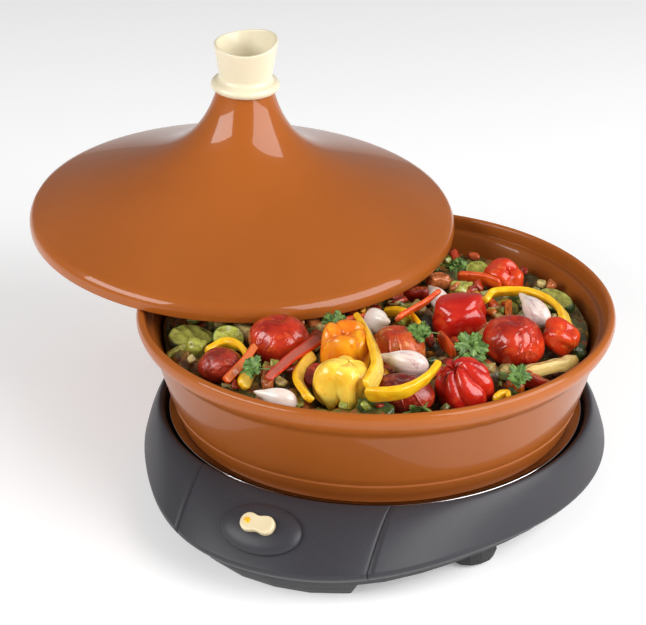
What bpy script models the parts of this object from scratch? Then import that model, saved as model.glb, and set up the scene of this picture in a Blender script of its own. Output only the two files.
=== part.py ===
"""Electric tagine: a glazed clay dish of vegetables on its heating base, the lid set down askew.

Metres, +Z up, control panel towards -Y. Everything is built round the dish's axis, and the last
step moves it so that the origin is the middle of the underside of its bounding box.
"""
import math
import random

import bmesh
import bpy
from mathutils import Euler, Matrix, Vector
from mathutils.bvhtree import BVHTree
from mathutils.geometry import delaunay_2d_cdt

MM = 0.001
GAP = 0.3 * MM
TURN_STEPS = 44

# Dish: a straight-sided clay pan with a rolled lip and a foot ring
RIM_RADIUS = 170 * MM
RIM_TOP = 134 * MM
LIP_DEPTH = 17.6 * MM
LIP_WIDTH = 6.8 * MM
LEDGE_RADIUS = 158.5 * MM
LEDGE_DEPTH = 11 * MM
WALL_TOP_RADIUS = 161 * MM
WALL_FOOT_RADIUS = 148 * MM
WALL_THICKNESS = 7 * MM
FOOT_CREASE_RADIUS = 146.5 * MM
FOOT_CREASE_HEIGHT = 68.5 * MM
FOOT_RADIUS = 141 * MM
FOOT_BOTTOM = 52.3 * MM
FOOT_INNER_RADIUS = 131 * MM
DISH_FLOOR = 66 * MM

# Lid: a flared cone that leans on the dish's rim, its near edge over the middle of the dish
LID_RADIUS = 162.5 * MM
LID_BAND = 11.5 * MM
NECK_RADIUS = 21.2 * MM
NECK_HEIGHT = 109.3 * MM
BRIM_RISE = 34.9 * MM
BRIM_POWER = 1.6
CONE_POWER = 1.0
LID_THICKNESS = 6 * MM
LID_DISTANCE = 164.5 * MM
LID_BEARING = math.radians(150.5)
LID_TILT = math.radians(3.7)

# Handle: a flared cup with a slanting rim on a rounded flange
FLANGE_RADIUS = 25.7 * MM
FLANGE_HEIGHT = 8 * MM
WAIST_RADIUS = 19.6 * MM
CUP_RADIUS = 23.8 * MM
CUP_WALL = 2.2 * MM
CUP_DEPTH = 20 * MM
HANDLE_HEIGHT = 37 * MM
RIM_SLANT = 2.6 * MM
RIM_WAVE = 1.2 * MM

# Heating base: a shell that bulges forward under its panel, a tray, an underside and feet
BASE_RADIUS = 167 * MM
FRONT_BULGE = 35 * MM
FRONT_SPREAD = math.radians(36)
BACK_BULGE = 15 * MM
BACK_SPREAD = math.radians(40)
CREST_RADIUS = 156 * MM
CREST_HEIGHT = 59 * MM
EDGE_HEIGHT = 31 * MM
SLOPE_POWER = 1.6
BASE_FLOOR = 50.5 * MM
SHELL_BOTTOM = 20 * MM
UNDERSIDE_BOTTOM = 13 * MM
PANEL_HALF_WIDTH = 69 * MM
PANEL_INNER_RADIUS = 154.3 * MM
TRAY_RADIUS = 149.4 * MM
TRAY_RIM_HEIGHT = 55.4 * MM
TRAY_FLOOR = 52 * MM
TRAY_THICKNESS = 1.2 * MM
FOOT_BEARINGS = (-140, -40, 45, 135)
FOOT_DISTANCE = 146 * MM

# Control knob on its oval boss
BOSS_X = -5.5 * MM
BOSS_SHARE = 0.58
BOSS_LENGTH = 57 * MM
BOSS_WIDTH = 36 * MM
BOSS_THICKNESS = 15 * MM
BOSS_FLAT = 0.7 * MM
KNOB_LENGTH = 24 * MM
KNOB_WAIST = 8.4 * MM
KNOB_WIDEN = 1.24
KNOB_HEIGHT = 4.8 * MM
LENS_RADIUS = 2.4 * MM
LENS_OFFSET = 6.8 * MM

# Cord gland at the back
GLAND_RADIUS = 6 * MM
GLAND_LENGTH = 16 * MM
GLAND_HEIGHT = 31 * MM

# Food: a bed that slopes away from the panel's right-hand side, with the large pieces set into it
BED_LEVEL = -17 * MM
BED_SLOPE = 0.05
BED_CROWN = 5 * MM
BED_SPACING = 10.5 * MM
BED_CLEARANCE = 5 * MM
BED_BEARING = math.radians(112)
CHUNKS = 12
CHUNK_SPOTS = ((-98, -94, -17, 16), (-1, -104, -12, 13), (-26, -121, -12, 15))
CHUNK_SIZE = 10 * MM
SEED = 7

COLOURS = {
    "clay_glaze": ((0.42, 0.12, 0.03), 0.18, 0.0),
    "cream_glaze": ((0.88, 0.80, 0.58), 0.22, 0.0),
    "cream_plastic": ((0.88, 0.80, 0.58), 0.3, 0.0),
    "grey_plastic": ((0.07, 0.068, 0.078), 0.42, 0.0),
    "black_plastic": ((0.02, 0.02, 0.022), 0.5, 0.0),
    "polished_steel": ((0.75, 0.75, 0.76), 0.12, 1.0),
    "amber_lens": ((0.9, 0.38, 0.01), 0.2, 0.0),
    "rubber_foot": ((0.03, 0.03, 0.032), 0.7, 0.0),
    "tomato": ((0.58, 0.02, 0.005), 0.2, 0.0),
    "cut_tomato": ((0.55, 0.07, 0.02), 0.35, 0.0),
    "red_pepper": ((0.60, 0.015, 0.008), 0.18, 0.0),
    "yellow_pepper": ((0.93, 0.53, 0.01), 0.22, 0.0),
    "orange_pepper": ((0.78, 0.15, 0.01), 0.22, 0.0),
    "garlic": ((0.82, 0.72, 0.66), 0.4, 0.0),
    "coriander": ((0.06, 0.24, 0.05), 0.5, 0.0),
    "courgette": ((0.30, 0.32, 0.07), 0.4, 0.0),
    "vegetable_bed": ((0.30, 0.13, 0.03), 0.4, 0.0),
}


def start_scene():
    """Removes what the file holds and makes the two collections."""
    for thing in list(bpy.data.objects):
        bpy.data.objects.remove(thing, do_unlink=True)
    for title in ("electric_tagine", "cutters"):
        group = bpy.data.collections.new(title)
        bpy.context.scene.collection.children.link(group)


def material(name):
    """The named Principled material, made on first use."""
    found = bpy.data.materials.get(name)
    if found is None:
        colour, roughness, metallic = COLOURS[name]
        found = bpy.data.materials.new(name)
        found.use_nodes = True
        shader = found.node_tree.nodes["Principled BSDF"]
        shader.inputs["Base Color"].default_value = (*colour, 1)
        shader.inputs["Roughness"].default_value = roughness
        shader.inputs["Metallic"].default_value = metallic
    return found


def add(name, mesh, material_name):
    """An object of the mesh in the collection, with its material."""
    thing = bpy.data.objects.new(name, mesh)
    mesh.materials.clear()
    mesh.materials.append(material(material_name))
    bpy.data.collections["electric_tagine"].objects.link(thing)
    return thing


def cutter(thing):
    """Marks the object as a cutter and moves it to the cutters' collection."""
    for group in list(thing.users_collection):
        group.objects.unlink(thing)
    bpy.data.collections["cutters"].objects.link(thing)
    thing.hide_render = True
    thing.display_type = "WIRE"
    return thing


def from_bmesh(name, shape, material_name):
    """An object of the bmesh, which is freed."""
    mesh = bpy.data.meshes.new(name)
    shape.to_mesh(mesh)
    shape.free()
    return add(name, mesh, material_name)


def baked(thing):
    """Replaces the object's mesh by its evaluated one, so that its modifiers are gone."""
    bpy.context.view_layer.update()
    graph = bpy.context.evaluated_depsgraph_get()
    mesh = bpy.data.meshes.new_from_object(thing.evaluated_get(graph))
    thing.modifiers.clear()
    thing.data = mesh
    return thing


def turned(name, profile, material_name, steps=TURN_STEPS):
    """A solid of revolution from (radius, height) points that run down its outer side."""
    mesh = bpy.data.meshes.new(name)
    points = [(radius, 0, height) for radius, height in profile]
    mesh.from_pydata(points, [(i, i + 1) for i in range(len(points) - 1)], [])
    thing = add(name, mesh, material_name)
    screw = thing.modifiers.new("Turn", "SCREW")
    screw.steps = steps
    screw.render_steps = steps
    screw.use_merge_vertices = True
    screw.merge_threshold = 0.02 * MM
    return baked(thing)


def boolean(thing, other, operation="DIFFERENCE"):
    """Cuts, joins or keeps the overlap with the other object, for good."""
    step = thing.modifiers.new("Cut", "BOOLEAN")
    step.operation = operation
    step.object = other
    return baked(thing)


def remove(*things):
    """Deletes objects that were only needed to build others."""
    for thing in things:
        bpy.data.objects.remove(thing, do_unlink=True)


def copy_of(thing, name, material_name):
    """A new object with its own copy of the mesh."""
    return add(name, thing.data.copy(), material_name)


def box(name, low, high, material_name="black_plastic"):
    """A box between two corners."""
    shape = bmesh.new()
    bmesh.ops.create_cube(shape, size=1)
    low, high = Vector(low), Vector(high)
    bmesh.ops.scale(shape, vec=high - low, verts=shape.verts)
    bmesh.ops.translate(shape, vec=(low + high) / 2, verts=shape.verts)
    return from_bmesh(name, shape, material_name)


def cylinder(name, radius, low, high, material_name, steps=24):
    """An upright cylinder on the Z axis between two heights."""
    return turned(name, [(0, high), (radius, high), (radius, low), (0, low)], material_name, steps)


def base_bulge(x, y):
    """How far the base's outline stands out beyond its circle, by bearing from the panel."""
    angle = abs(math.atan2(x, -y))
    front = FRONT_BULGE * math.exp(-((angle / FRONT_SPREAD) ** 2.4))
    back = BACK_BULGE * math.exp(-(((math.pi - angle) / BACK_SPREAD) ** 2))
    return front + back


def push_out(thing):
    """Stretches a turned piece from its crest outwards, to the base's true outline."""
    for vertex in thing.data.vertices:
        radius = math.hypot(vertex.co.x, vertex.co.y)
        share = max(0.0, (radius - CREST_RADIUS) / (BASE_RADIUS - CREST_RADIUS))
        if vertex.co.z < EDGE_HEIGHT - 2 * MM:
            share = 1.0
        if radius > FOOT_INNER_RADIUS:
            grow = 1 + share * base_bulge(vertex.co.x, vertex.co.y) / radius
            vertex.co.x *= grow
            vertex.co.y *= grow
    thing.data.update()


def slope_point(share):
    """Radius and height on the base's slope, from its crest (0) to its edge (1), on its circle."""
    radius = CREST_RADIUS + share * (BASE_RADIUS - CREST_RADIUS)
    return radius, CREST_HEIGHT - (CREST_HEIGHT - EDGE_HEIGHT) * share ** SLOPE_POWER


def base_body(name, material_name):
    """The base's whole upper body before the panel is cut from it."""
    well = TRAY_RADIUS + 1.8 * MM
    profile = [(0, BASE_FLOOR), (well, BASE_FLOOR), (well + 0.6 * MM, CREST_HEIGHT - 4 * MM)]
    profile.append((CREST_RADIUS - 2.4 * MM, CREST_HEIGHT - 1.2 * MM))
    profile += [slope_point(step / 4) for step in range(5)]
    profile += [(BASE_RADIUS + 0.3 * MM, EDGE_HEIGHT - 3 * MM)]
    profile += [(BASE_RADIUS - 2.5 * MM, EDGE_HEIGHT - 6.5 * MM)]
    profile += [(BASE_RADIUS - 9 * MM, SHELL_BOTTOM), (0, SHELL_BOTTOM)]
    thing = turned(name, profile, material_name)
    push_out(thing)
    return thing


def panel_block(name, half_width, inner_radius, bottom):
    """The region in front of the tray that the control panel fills."""
    block = box(name, (-half_width, -230 * MM, bottom), (half_width, -100 * MM, 80 * MM))
    core = cylinder("panel_core", inner_radius, 0, 0.1, "black_plastic", TURN_STEPS)
    boolean(block, core)
    remove(core)
    return cutter(block)


def boss_frame():
    """Placement of the boss: its centre on the slope, its local Z square to the slope."""
    radius, height = slope_point(BOSS_SHARE)
    step = 0.01
    near_radius, near_height = slope_point(BOSS_SHARE + step)
    bulge = base_bulge(0, -1)
    y = -(radius + BOSS_SHARE * bulge)
    y_near = -(near_radius + (BOSS_SHARE + step) * bulge)
    tilt = math.atan2(height - near_height, y - y_near)
    return Matrix.Translation((BOSS_X, y, height)) @ Matrix.Rotation(tilt, 4, "X")


def ellipsoid(name, size, material_name, segments=20, rings=8):
    """A ball scaled to the full size given."""
    shape = bmesh.new()
    bmesh.ops.create_uvsphere(shape, u_segments=segments, v_segments=rings, radius=0.5)
    bmesh.ops.scale(shape, vec=size, verts=shape.verts)
    return from_bmesh(name, shape, material_name)


def boss(frame):
    """The oval boss with a small flat for the knob, and the pocket it leaves in the panel."""
    size = Vector((BOSS_LENGTH, BOSS_WIDTH, BOSS_THICKNESS))
    pocket = ellipsoid("boss_pocket", size + Vector((1, 1, 1)) * 2 * GAP, "black_plastic")
    pocket.data.transform(frame)
    thing = ellipsoid("knob_boss", size, "grey_plastic")
    flat = BOSS_THICKNESS / 2 - BOSS_FLAT
    shape = bmesh.new()
    shape.from_mesh(thing.data)
    faces = shape.verts[:] + shape.edges[:] + shape.faces[:]
    cut = bmesh.ops.bisect_plane(shape, geom=faces, plane_co=(0, 0, flat), plane_no=(0, 0, 1),
                                 clear_outer=True)
    rim = [item for item in cut["geom_cut"] if isinstance(item, bmesh.types.BMEdge)]
    bmesh.ops.edgeloop_fill(shape, edges=rim)
    bmesh.ops.recalc_face_normals(shape, faces=shape.faces)
    shape.to_mesh(thing.data)
    shape.free()
    thing.data.transform(frame)
    return cutter(pocket), flat


def knob_outline(count=24):
    """A peanut outline: a Cassini oval through the knob's ends and its waist, widened a little."""
    long, waist = KNOB_LENGTH / 2, KNOB_WAIST / 2
    a2, c2 = (long * long + waist * waist) / 2, (long * long - waist * waist) / 2
    points = []
    for step in range(count):
        angle = 2 * math.pi * step / count
        inner = math.sqrt(a2 * a2 - (c2 * math.sin(2 * angle)) ** 2)
        radius = math.sqrt(c2 * math.cos(2 * angle) + inner)
        points.append((radius * math.cos(angle), radius * math.sin(angle) * KNOB_WIDEN))
    return points


def knob(frame, seat):
    """The rotary knob, its origin where its axis meets the boss, and the lens in its end."""
    outline = knob_outline()
    rings = ((1.0, 0), (1.0, 0.72), (0.93, 0.92), (0.8, 1.0))
    shape = bmesh.new()
    loops = [[shape.verts.new((x * scale, y * scale, level * KNOB_HEIGHT)) for x, y in outline]
             for scale, level in rings]
    count = len(outline)
    for lower, upper in zip(loops, loops[1:]):
        for i in range(count):
            shape.faces.new((lower[i], lower[(i + 1) % count], upper[(i + 1) % count], upper[i]))
    shape.faces.new(list(reversed(loops[0])))
    shape.faces.new(loops[-1])
    thing = from_bmesh("control_knob", shape, "cream_plastic")
    top = KNOB_HEIGHT
    hole = cylinder("lens_hole", LENS_RADIUS + GAP, top - 2 * MM, top + 2 * MM, "black_plastic")
    hole.location.x = -LENS_OFFSET
    boolean(thing, hole)
    remove(hole)
    lens_top = top + 0.5 * MM
    profile = [(0, lens_top), (0.6 * LENS_RADIUS, lens_top - 0.1 * MM), (LENS_RADIUS, top)]
    profile += [(LENS_RADIUS, top - 2 * MM + GAP), (0, top - 2 * MM + GAP)]
    lens = turned("knob_lens", profile, "amber_lens", 12)
    lens.data.transform(Matrix.Translation((-LENS_OFFSET, 0, 0)))
    place = frame @ Matrix.Translation((0, 0, seat + GAP))
    for piece in (thing, lens):
        piece.matrix_world = place


def heating_base():
    """Shell, control panel, boss, knob, gland, underside, keel, feet and tray."""
    shell = base_body("base_shell", "grey_plastic")
    panel = copy_of(shell, "control_panel", "grey_plastic")
    inside = panel_block("panel_block", PANEL_HALF_WIDTH, PANEL_INNER_RADIUS, SHELL_BOTTOM + 3 * MM)
    around = panel_block("panel_opening", PANEL_HALF_WIDTH + GAP, PANEL_INNER_RADIUS - GAP,
                         SHELL_BOTTOM + 3 * MM - GAP)
    boolean(panel, inside, "INTERSECT")
    boolean(shell, around)
    frame = boss_frame()
    pocket, seat = boss(frame)
    boolean(panel, pocket)
    knob(frame, seat)
    gland(shell)
    underside()
    tray()


def gland(shell):
    """A short cord gland in a pocket at the middle of the back."""
    back = BASE_RADIUS + BACK_BULGE
    upright = Matrix.Rotation(-math.pi / 2, 4, "X")
    place = Matrix.Translation((0, back - GLAND_LENGTH / 2, GLAND_HEIGHT)) @ upright
    hole = cylinder("gland_hole", GLAND_RADIUS + GAP, -GAP, 2 * GLAND_LENGTH, "black_plastic", 14)
    hole.data.transform(place)
    boolean(shell, hole)
    remove(hole)
    slim = GLAND_RADIUS * 0.72
    profile = [(0, GLAND_LENGTH), (slim, GLAND_LENGTH), (GLAND_RADIUS, GLAND_LENGTH * 0.55)]
    profile += [(GLAND_RADIUS, 0), (0, 0)]
    thing = turned("cord_gland", profile, "black_plastic", 14)
    thing.data.transform(place)


def underside():
    """The dark underside, the keel below the panel and four feet."""
    top = SHELL_BOTTOM - GAP
    profile = [(0, top), (BASE_RADIUS - 9.5 * MM, top)]
    profile += [(BASE_RADIUS - 12 * MM, UNDERSIDE_BOTTOM + 2 * MM)]
    profile += [(BASE_RADIUS - 15 * MM, UNDERSIDE_BOTTOM), (0, UNDERSIDE_BOTTOM)]
    push_out(turned("base_underside", profile, "black_plastic"))
    top = UNDERSIDE_BOTTOM - GAP
    profile = [(0, top), (BASE_RADIUS - 15.5 * MM, top), (BASE_RADIUS - 20 * MM, top / 2)]
    profile += [(BASE_RADIUS - 26 * MM, 0), (0, 0)]
    keel = turned("front_keel", profile, "black_plastic")
    push_out(keel)
    wedge = box("keel_wedge", (-62 * MM, -230 * MM, -1 * MM), (62 * MM, -145 * MM, 20 * MM))
    for vertex in wedge.data.vertices:
        if vertex.co.z < 0:
            vertex.co.x *= 0.8
    boolean(keel, wedge, "INTERSECT")
    remove(wedge)
    for number, bearing in enumerate(FOOT_BEARINGS, 1):
        foot = ellipsoid(f"foot_{number}", (22 * MM, 34 * MM, 2 * top), "rubber_foot", 12, 6)
        shape = bmesh.new()
        shape.from_mesh(foot.data)
        for vertex in shape.verts:
            vertex.co.z = max(min(vertex.co.z, 0.3 * top), -0.75 * top)
        bmesh.ops.dissolve_limit(shape, angle_limit=0.01, verts=shape.verts, edges=shape.edges)
        low = min(vertex.co.z for vertex in shape.verts)
        high = max(vertex.co.z for vertex in shape.verts)
        for vertex in shape.verts:
            vertex.co.z = (vertex.co.z - low) * top / (high - low)
        shape.to_mesh(foot.data)
        shape.free()
        turn = Matrix.Rotation(math.radians(bearing), 4, "Z")
        foot.data.transform(turn @ Matrix.Translation((FOOT_DISTANCE, 0, 0)))


def tray():
    """The polished steel tray that the dish stands in."""
    under = TRAY_FLOOR - TRAY_THICKNESS
    profile = [(0, TRAY_FLOOR), (TRAY_RADIUS - 6.8 * MM, TRAY_FLOOR)]
    profile += [(TRAY_RADIUS - 3 * MM, TRAY_FLOOR + 1.8 * MM)]
    profile += [(TRAY_RADIUS - 0.8 * MM, TRAY_RIM_HEIGHT), (TRAY_RADIUS, TRAY_RIM_HEIGHT - 0.5 * MM)]
    profile += [(TRAY_RADIUS - 1.6 * MM, TRAY_FLOOR + 1.4 * MM)]
    profile += [(TRAY_RADIUS - 6.2 * MM, under), (0, under)]
    turned("heating_tray", profile, "polished_steel")


def dish():
    """The glazed dish: floor, wall, inner ledge, rolled lip and foot ring in one profile."""
    lip_inner = RIM_RADIUS - LIP_WIDTH
    crease = RIM_TOP - LIP_DEPTH
    wall_foot = FOOT_CREASE_HEIGHT + 4 * MM
    profile = [(0, DISH_FLOOR), (112 * MM, DISH_FLOOR), (131 * MM, DISH_FLOOR + 5 * MM)]
    profile += [(WALL_FOOT_RADIUS - WALL_THICKNESS + 1 * MM, DISH_FLOOR + 16 * MM)]
    profile += [(LEDGE_RADIUS - 3.5 * MM, RIM_TOP - LEDGE_DEPTH - 6 * MM)]
    profile += [(LEDGE_RADIUS, RIM_TOP - LEDGE_DEPTH)]
    profile += [(lip_inner - 0.6 * MM, RIM_TOP - LEDGE_DEPTH + 0.6 * MM)]
    profile += [(lip_inner, RIM_TOP - 4 * MM), (lip_inner + 1.4 * MM, RIM_TOP - 0.8 * MM)]
    profile += [(lip_inner + 3.4 * MM, RIM_TOP), (RIM_RADIUS - 1 * MM, RIM_TOP - 2 * MM)]
    profile += [(RIM_RADIUS, RIM_TOP - 6 * MM), (RIM_RADIUS - 2.2 * MM, RIM_TOP - 12 * MM)]
    profile += [(WALL_TOP_RADIUS + 1.2 * MM, crease), (WALL_TOP_RADIUS - 1 * MM, crease - 3 * MM)]
    profile += [(WALL_FOOT_RADIUS, wall_foot), (FOOT_CREASE_RADIUS - 0.6 * MM, FOOT_CREASE_HEIGHT)]
    profile += [(FOOT_RADIUS, FOOT_BOTTOM), (FOOT_INNER_RADIUS, FOOT_BOTTOM)]
    profile += [(FOOT_INNER_RADIUS - 2 * MM, FOOT_BOTTOM + 6 * MM), (0, FOOT_BOTTOM + 6 * MM)]
    turned("dish", profile, "clay_glaze")


def lid_height(radius):
    """Height of the lid's outside above its bottom plane: a soft brim plus a cone that steepens."""
    brim = BRIM_RISE * (1 - (radius / LID_RADIUS) ** BRIM_POWER)
    peak = NECK_HEIGHT - LID_BAND - BRIM_RISE * (1 - (NECK_RADIUS / LID_RADIUS) ** BRIM_POWER)
    edge = (NECK_RADIUS / LID_RADIUS) ** CONE_POWER
    cone = peak * ((NECK_RADIUS / radius) ** CONE_POWER - edge) / (1 - edge)
    return LID_BAND + brim + cone


def lid_frame():
    """Placement of the lid: it leans towards the dish's axis and just clears the rim's top."""
    contact = RIM_RADIUS - LIP_WIDTH / 2
    along = (LID_DISTANCE ** 2 + contact ** 2 - (LID_RADIUS - 1 * MM) ** 2) / (2 * LID_DISTANCE)
    rise = (LID_DISTANCE - along) * math.tan(LID_TILT) + GAP
    x, y = LID_DISTANCE * math.cos(LID_BEARING), LID_DISTANCE * math.sin(LID_BEARING)
    hinge = Vector((math.sin(LID_BEARING), -math.cos(LID_BEARING), 0))
    return Matrix.Translation((x, y, RIM_TOP + rise)) @ Matrix.Rotation(LID_TILT, 4, hinge)


def lid(frame):
    """The hollow lid: the outer curve, a rounded band, and the inner curve one wall within."""
    shares = (0, 0.04, 0.1, 0.19, 0.33, 0.52, 0.76, 1)
    reach = LID_RADIUS - 3.5 * MM
    radii = [NECK_RADIUS + (reach - NECK_RADIUS) * share for share in shares]
    outer = [(radius, lid_height(radius)) for radius in radii]
    band = [(LID_RADIUS - 0.8 * MM, LID_BAND - 3.5 * MM), (LID_RADIUS, LID_BAND / 2)]
    band += [(LID_RADIUS - 0.4 * MM, 1.2 * MM), (LID_RADIUS - 2 * MM, 0), (LID_RADIUS - 7 * MM, 0)]
    inner = []
    for radius in radii[-2:1:-2]:
        slope = (lid_height(radius + MM) - lid_height(radius - MM)) / (2 * MM)
        length = math.hypot(slope, 1)
        inner.append((radius + LID_THICKNESS * slope / length,
                      lid_height(radius) - LID_THICKNESS / length))
    crown = NECK_HEIGHT - 14 * MM
    inner += [(NECK_RADIUS - LID_THICKNESS, crown - 6 * MM), (NECK_RADIUS - 12 * MM, crown)]
    profile = [(0, NECK_HEIGHT)] + outer + band + [(LID_RADIUS - 9.5 * MM, 7 * MM)]
    profile += inner + [(0, crown)]
    thing = turned("lid", profile, "clay_glaze")
    thing.data.transform(frame)


def handle(frame):
    """The cream handle on the lid's neck: a rounded flange, a waist and a thin slanting cup."""
    low = NECK_HEIGHT + GAP
    flange = low + FLANGE_HEIGHT
    top = low + HANDLE_HEIGHT
    floor = top - CUP_DEPTH
    profile = [(0, floor), (WAIST_RADIUS - 4 * MM, floor + 0.5 * MM)]
    profile += [(WAIST_RADIUS - CUP_WALL, floor + 5 * MM), (CUP_RADIUS - CUP_WALL, top - 0.6 * MM)]
    profile += [(CUP_RADIUS - CUP_WALL / 2, top), (CUP_RADIUS, top - 0.8 * MM)]
    profile += [(WAIST_RADIUS + 0.7 * MM, flange + 7 * MM), (WAIST_RADIUS, flange + 2 * MM)]
    profile += [(WAIST_RADIUS + 1.6 * MM, flange - 0.3 * MM)]
    profile += [(FLANGE_RADIUS - 1.4 * MM, flange - 1.8 * MM), (FLANGE_RADIUS, flange - 4.2 * MM)]
    profile += [(FLANGE_RADIUS - 1.1 * MM, low + 1 * MM), (FLANGE_RADIUS - 3 * MM, low), (0, low)]
    thing = turned("lid_handle", profile, "cream_glaze", 24)
    for vertex in thing.data.vertices:
        share = max(0.0, (vertex.co.z - floor - 6 * MM) / (top - floor - 6 * MM))
        angle = math.atan2(vertex.co.y, vertex.co.x)
        if math.hypot(vertex.co.x, vertex.co.y) > WAIST_RADIUS - CUP_WALL - MM:
            wave = RIM_SLANT * math.cos(angle - math.radians(65))
            wave += RIM_WAVE * math.cos(2 * (angle - math.radians(40)))
            vertex.co.z += share * share * wave
    thing.data.transform(frame)


def placed(thing, spot, turn):
    """Turns a food piece by Euler degrees and moves it to (x, y, level above the rim) in mm."""
    x, y, level = spot
    place = Matrix.Translation((x * MM, y * MM, RIM_TOP + level * MM))
    thing.data.transform(place @ Euler([math.radians(a) for a in turn]).to_matrix().to_4x4())
    return thing


def ball(name, colour, size, lobes=0, depth=0.0, taper=0.0, segments=12, rings=7):
    """A ball of the size given in mm, with lobes round it and a taper towards its end."""
    shape = bmesh.new()
    bmesh.ops.create_uvsphere(shape, u_segments=segments, v_segments=rings, radius=0.5)
    for vertex in shape.verts:
        angle = math.atan2(vertex.co.y, vertex.co.x)
        wide = 1 + depth * math.cos(lobes * angle) - taper * vertex.co.z
        vertex.co.x *= wide * size[0] * MM
        vertex.co.y *= wide * size[1] * MM
        vertex.co.z *= size[2] * MM
    return from_bmesh(name, shape, colour)


def cut_flat(thing, height):
    """Slices off what lies above a height in mm."""
    shape = bmesh.new()
    shape.from_mesh(thing.data)
    parts = shape.verts[:] + shape.edges[:] + shape.faces[:]
    cut = bmesh.ops.bisect_plane(shape, geom=parts, plane_co=(0, 0, height * MM),
                                 plane_no=(0, 0, 1), clear_outer=True)
    rim = [item for item in cut["geom_cut"] if isinstance(item, bmesh.types.BMEdge)]
    bmesh.ops.edgeloop_fill(shape, edges=rim)
    bmesh.ops.recalc_face_normals(shape, faces=shape.faces)
    shape.to_mesh(thing.data)
    shape.free()
    return thing


def clove(name, spot, turn, size):
    """A garlic clove: a ball drawn out to a tip and flattened on its inner side."""
    shape = bmesh.new()
    bmesh.ops.create_uvsphere(shape, u_segments=10, v_segments=6, radius=0.5)
    length, width, depth = size
    for vertex in shape.verts:
        along = vertex.co.z + 0.5
        slim = 1 - 0.55 * along ** 1.8
        bend = 0.16 * along * along
        inner = 0.7 if vertex.co.x < 0 else 1.0
        vertex.co.x = (vertex.co.x * slim * inner - bend) * depth * MM
        vertex.co.y *= slim * width * MM
        vertex.co.z = (vertex.co.z + 0.12 * max(0.0, along - 0.8)) * length * MM
    return placed(from_bmesh(name, shape, "garlic"), spot, turn)


def strip(name, colour, points, width, thickness, lean=0.0, steps=8):
    """A band of pepper along a smooth curve through points in mm (level above the rim last)."""
    curve = bpy.data.curves.new(name, "CURVE")
    curve.dimensions = "3D"
    curve.bevel_depth = thickness / 2 * MM
    curve.extrude = (width - thickness) / 2 * MM
    curve.bevel_resolution = 0
    curve.use_fill_caps = True
    curve.twist_mode = "Z_UP"
    spline = curve.splines.new("POLY")
    path = smooth_path([Vector(point) for point in points], steps)
    spline.points.add(len(path) - 1)
    for point, spot in zip(spline.points, path):
        point.co = (spot.x * MM, spot.y * MM, RIM_TOP + spot.z * MM, 1)
        point.tilt = math.radians(lean)
    source = add_curve(name + "_path", curve)
    bpy.context.view_layer.update()
    graph = bpy.context.evaluated_depsgraph_get()
    mesh = bpy.data.meshes.new_from_object(source.evaluated_get(graph))
    remove(source)
    shape = bmesh.new()
    shape.from_mesh(mesh)
    bmesh.ops.remove_doubles(shape, verts=shape.verts, dist=0.02 * MM)
    bmesh.ops.recalc_face_normals(shape, faces=shape.faces)
    return from_bmesh(name, shape, colour)


def add_curve(name, curve):
    """An object of the curve in the cutters' collection, for meshing."""
    thing = bpy.data.objects.new(name, curve)
    bpy.data.collections["cutters"].objects.link(thing)
    return thing


def smooth_path(points, steps):
    """A Catmull-Rom curve through the points, sampled evenly by its own parameter."""
    ends = [2 * points[0] - points[1]] + points + [2 * points[-1] - points[-2]]
    path = []
    spans = len(points) - 1
    for step in range(steps + 1):
        place = min(step / steps * spans, spans - 1e-6)
        first = int(place)
        t = place - first
        a, b, c, d = ends[first:first + 4]
        path.append(0.5 * (2 * b + (c - a) * t + (2 * a - 5 * b + 4 * c - d) * t * t
                           + (3 * b - a - 3 * c + d) * t ** 3))
    return path


def slab(name, spot, turn, size, corners=10):
    """A cut slice of courgette: a rounded prism of (length, width, thickness) in mm."""
    length, width, thickness = size
    shape = bmesh.new()
    bmesh.ops.create_cone(shape, cap_ends=True, segments=corners, radius1=0.5, radius2=0.46,
                          depth=1)
    for vertex in shape.verts:
        x, y, z = vertex.co
        vertex.co = Vector((x * length, y * width, z * thickness)) * MM
    return placed(from_bmesh(name, shape, "courgette"), spot, turn)


def leaf(name, spot, turn, size, lobes=4, count=12):
    """A coriander leaf: a thin, wavy, lobed blade whose two faces have the same triangles."""
    thickness = 0.9 * MM
    shape = bmesh.new()
    sides = []
    for side in (thickness / 2, -thickness / 2):
        middle = shape.verts.new((0, 0, side))
        loops = []
        for share in (0.5, 1.0):
            ring = []
            for step in range(count):
                angle = 2 * math.pi * step / count
                radius = share * size / 2 * (0.8 + 0.2 * math.cos(lobes * angle))
                wave = 0.09 * size * share * math.sin(3 * angle + 1)
                spot_on = Vector((radius * math.cos(angle), radius * math.sin(angle), wave)) * MM
                ring.append(shape.verts.new(spot_on + Vector((0, 0, side))))
            loops.append(ring)
        sides.append((middle, *loops))
    for middle, small, large in sides:
        top = middle is sides[0][0]
        for i in range(count):
            j = (i + 1) % count
            for face in ((middle, small[i], small[j]), (small[i], large[i], large[j]),
                         (small[i], large[j], small[j])):
                shape.faces.new(face if top else face[::-1])
    upper, lower = sides[0][2], sides[1][2]
    for i in range(count):
        j = (i + 1) % count
        shape.faces.new((lower[i], lower[j], upper[j]))
        shape.faces.new((lower[i], upper[j], upper[i]))
    return placed(from_bmesh(name, shape, "coriander"), spot, turn)


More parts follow.
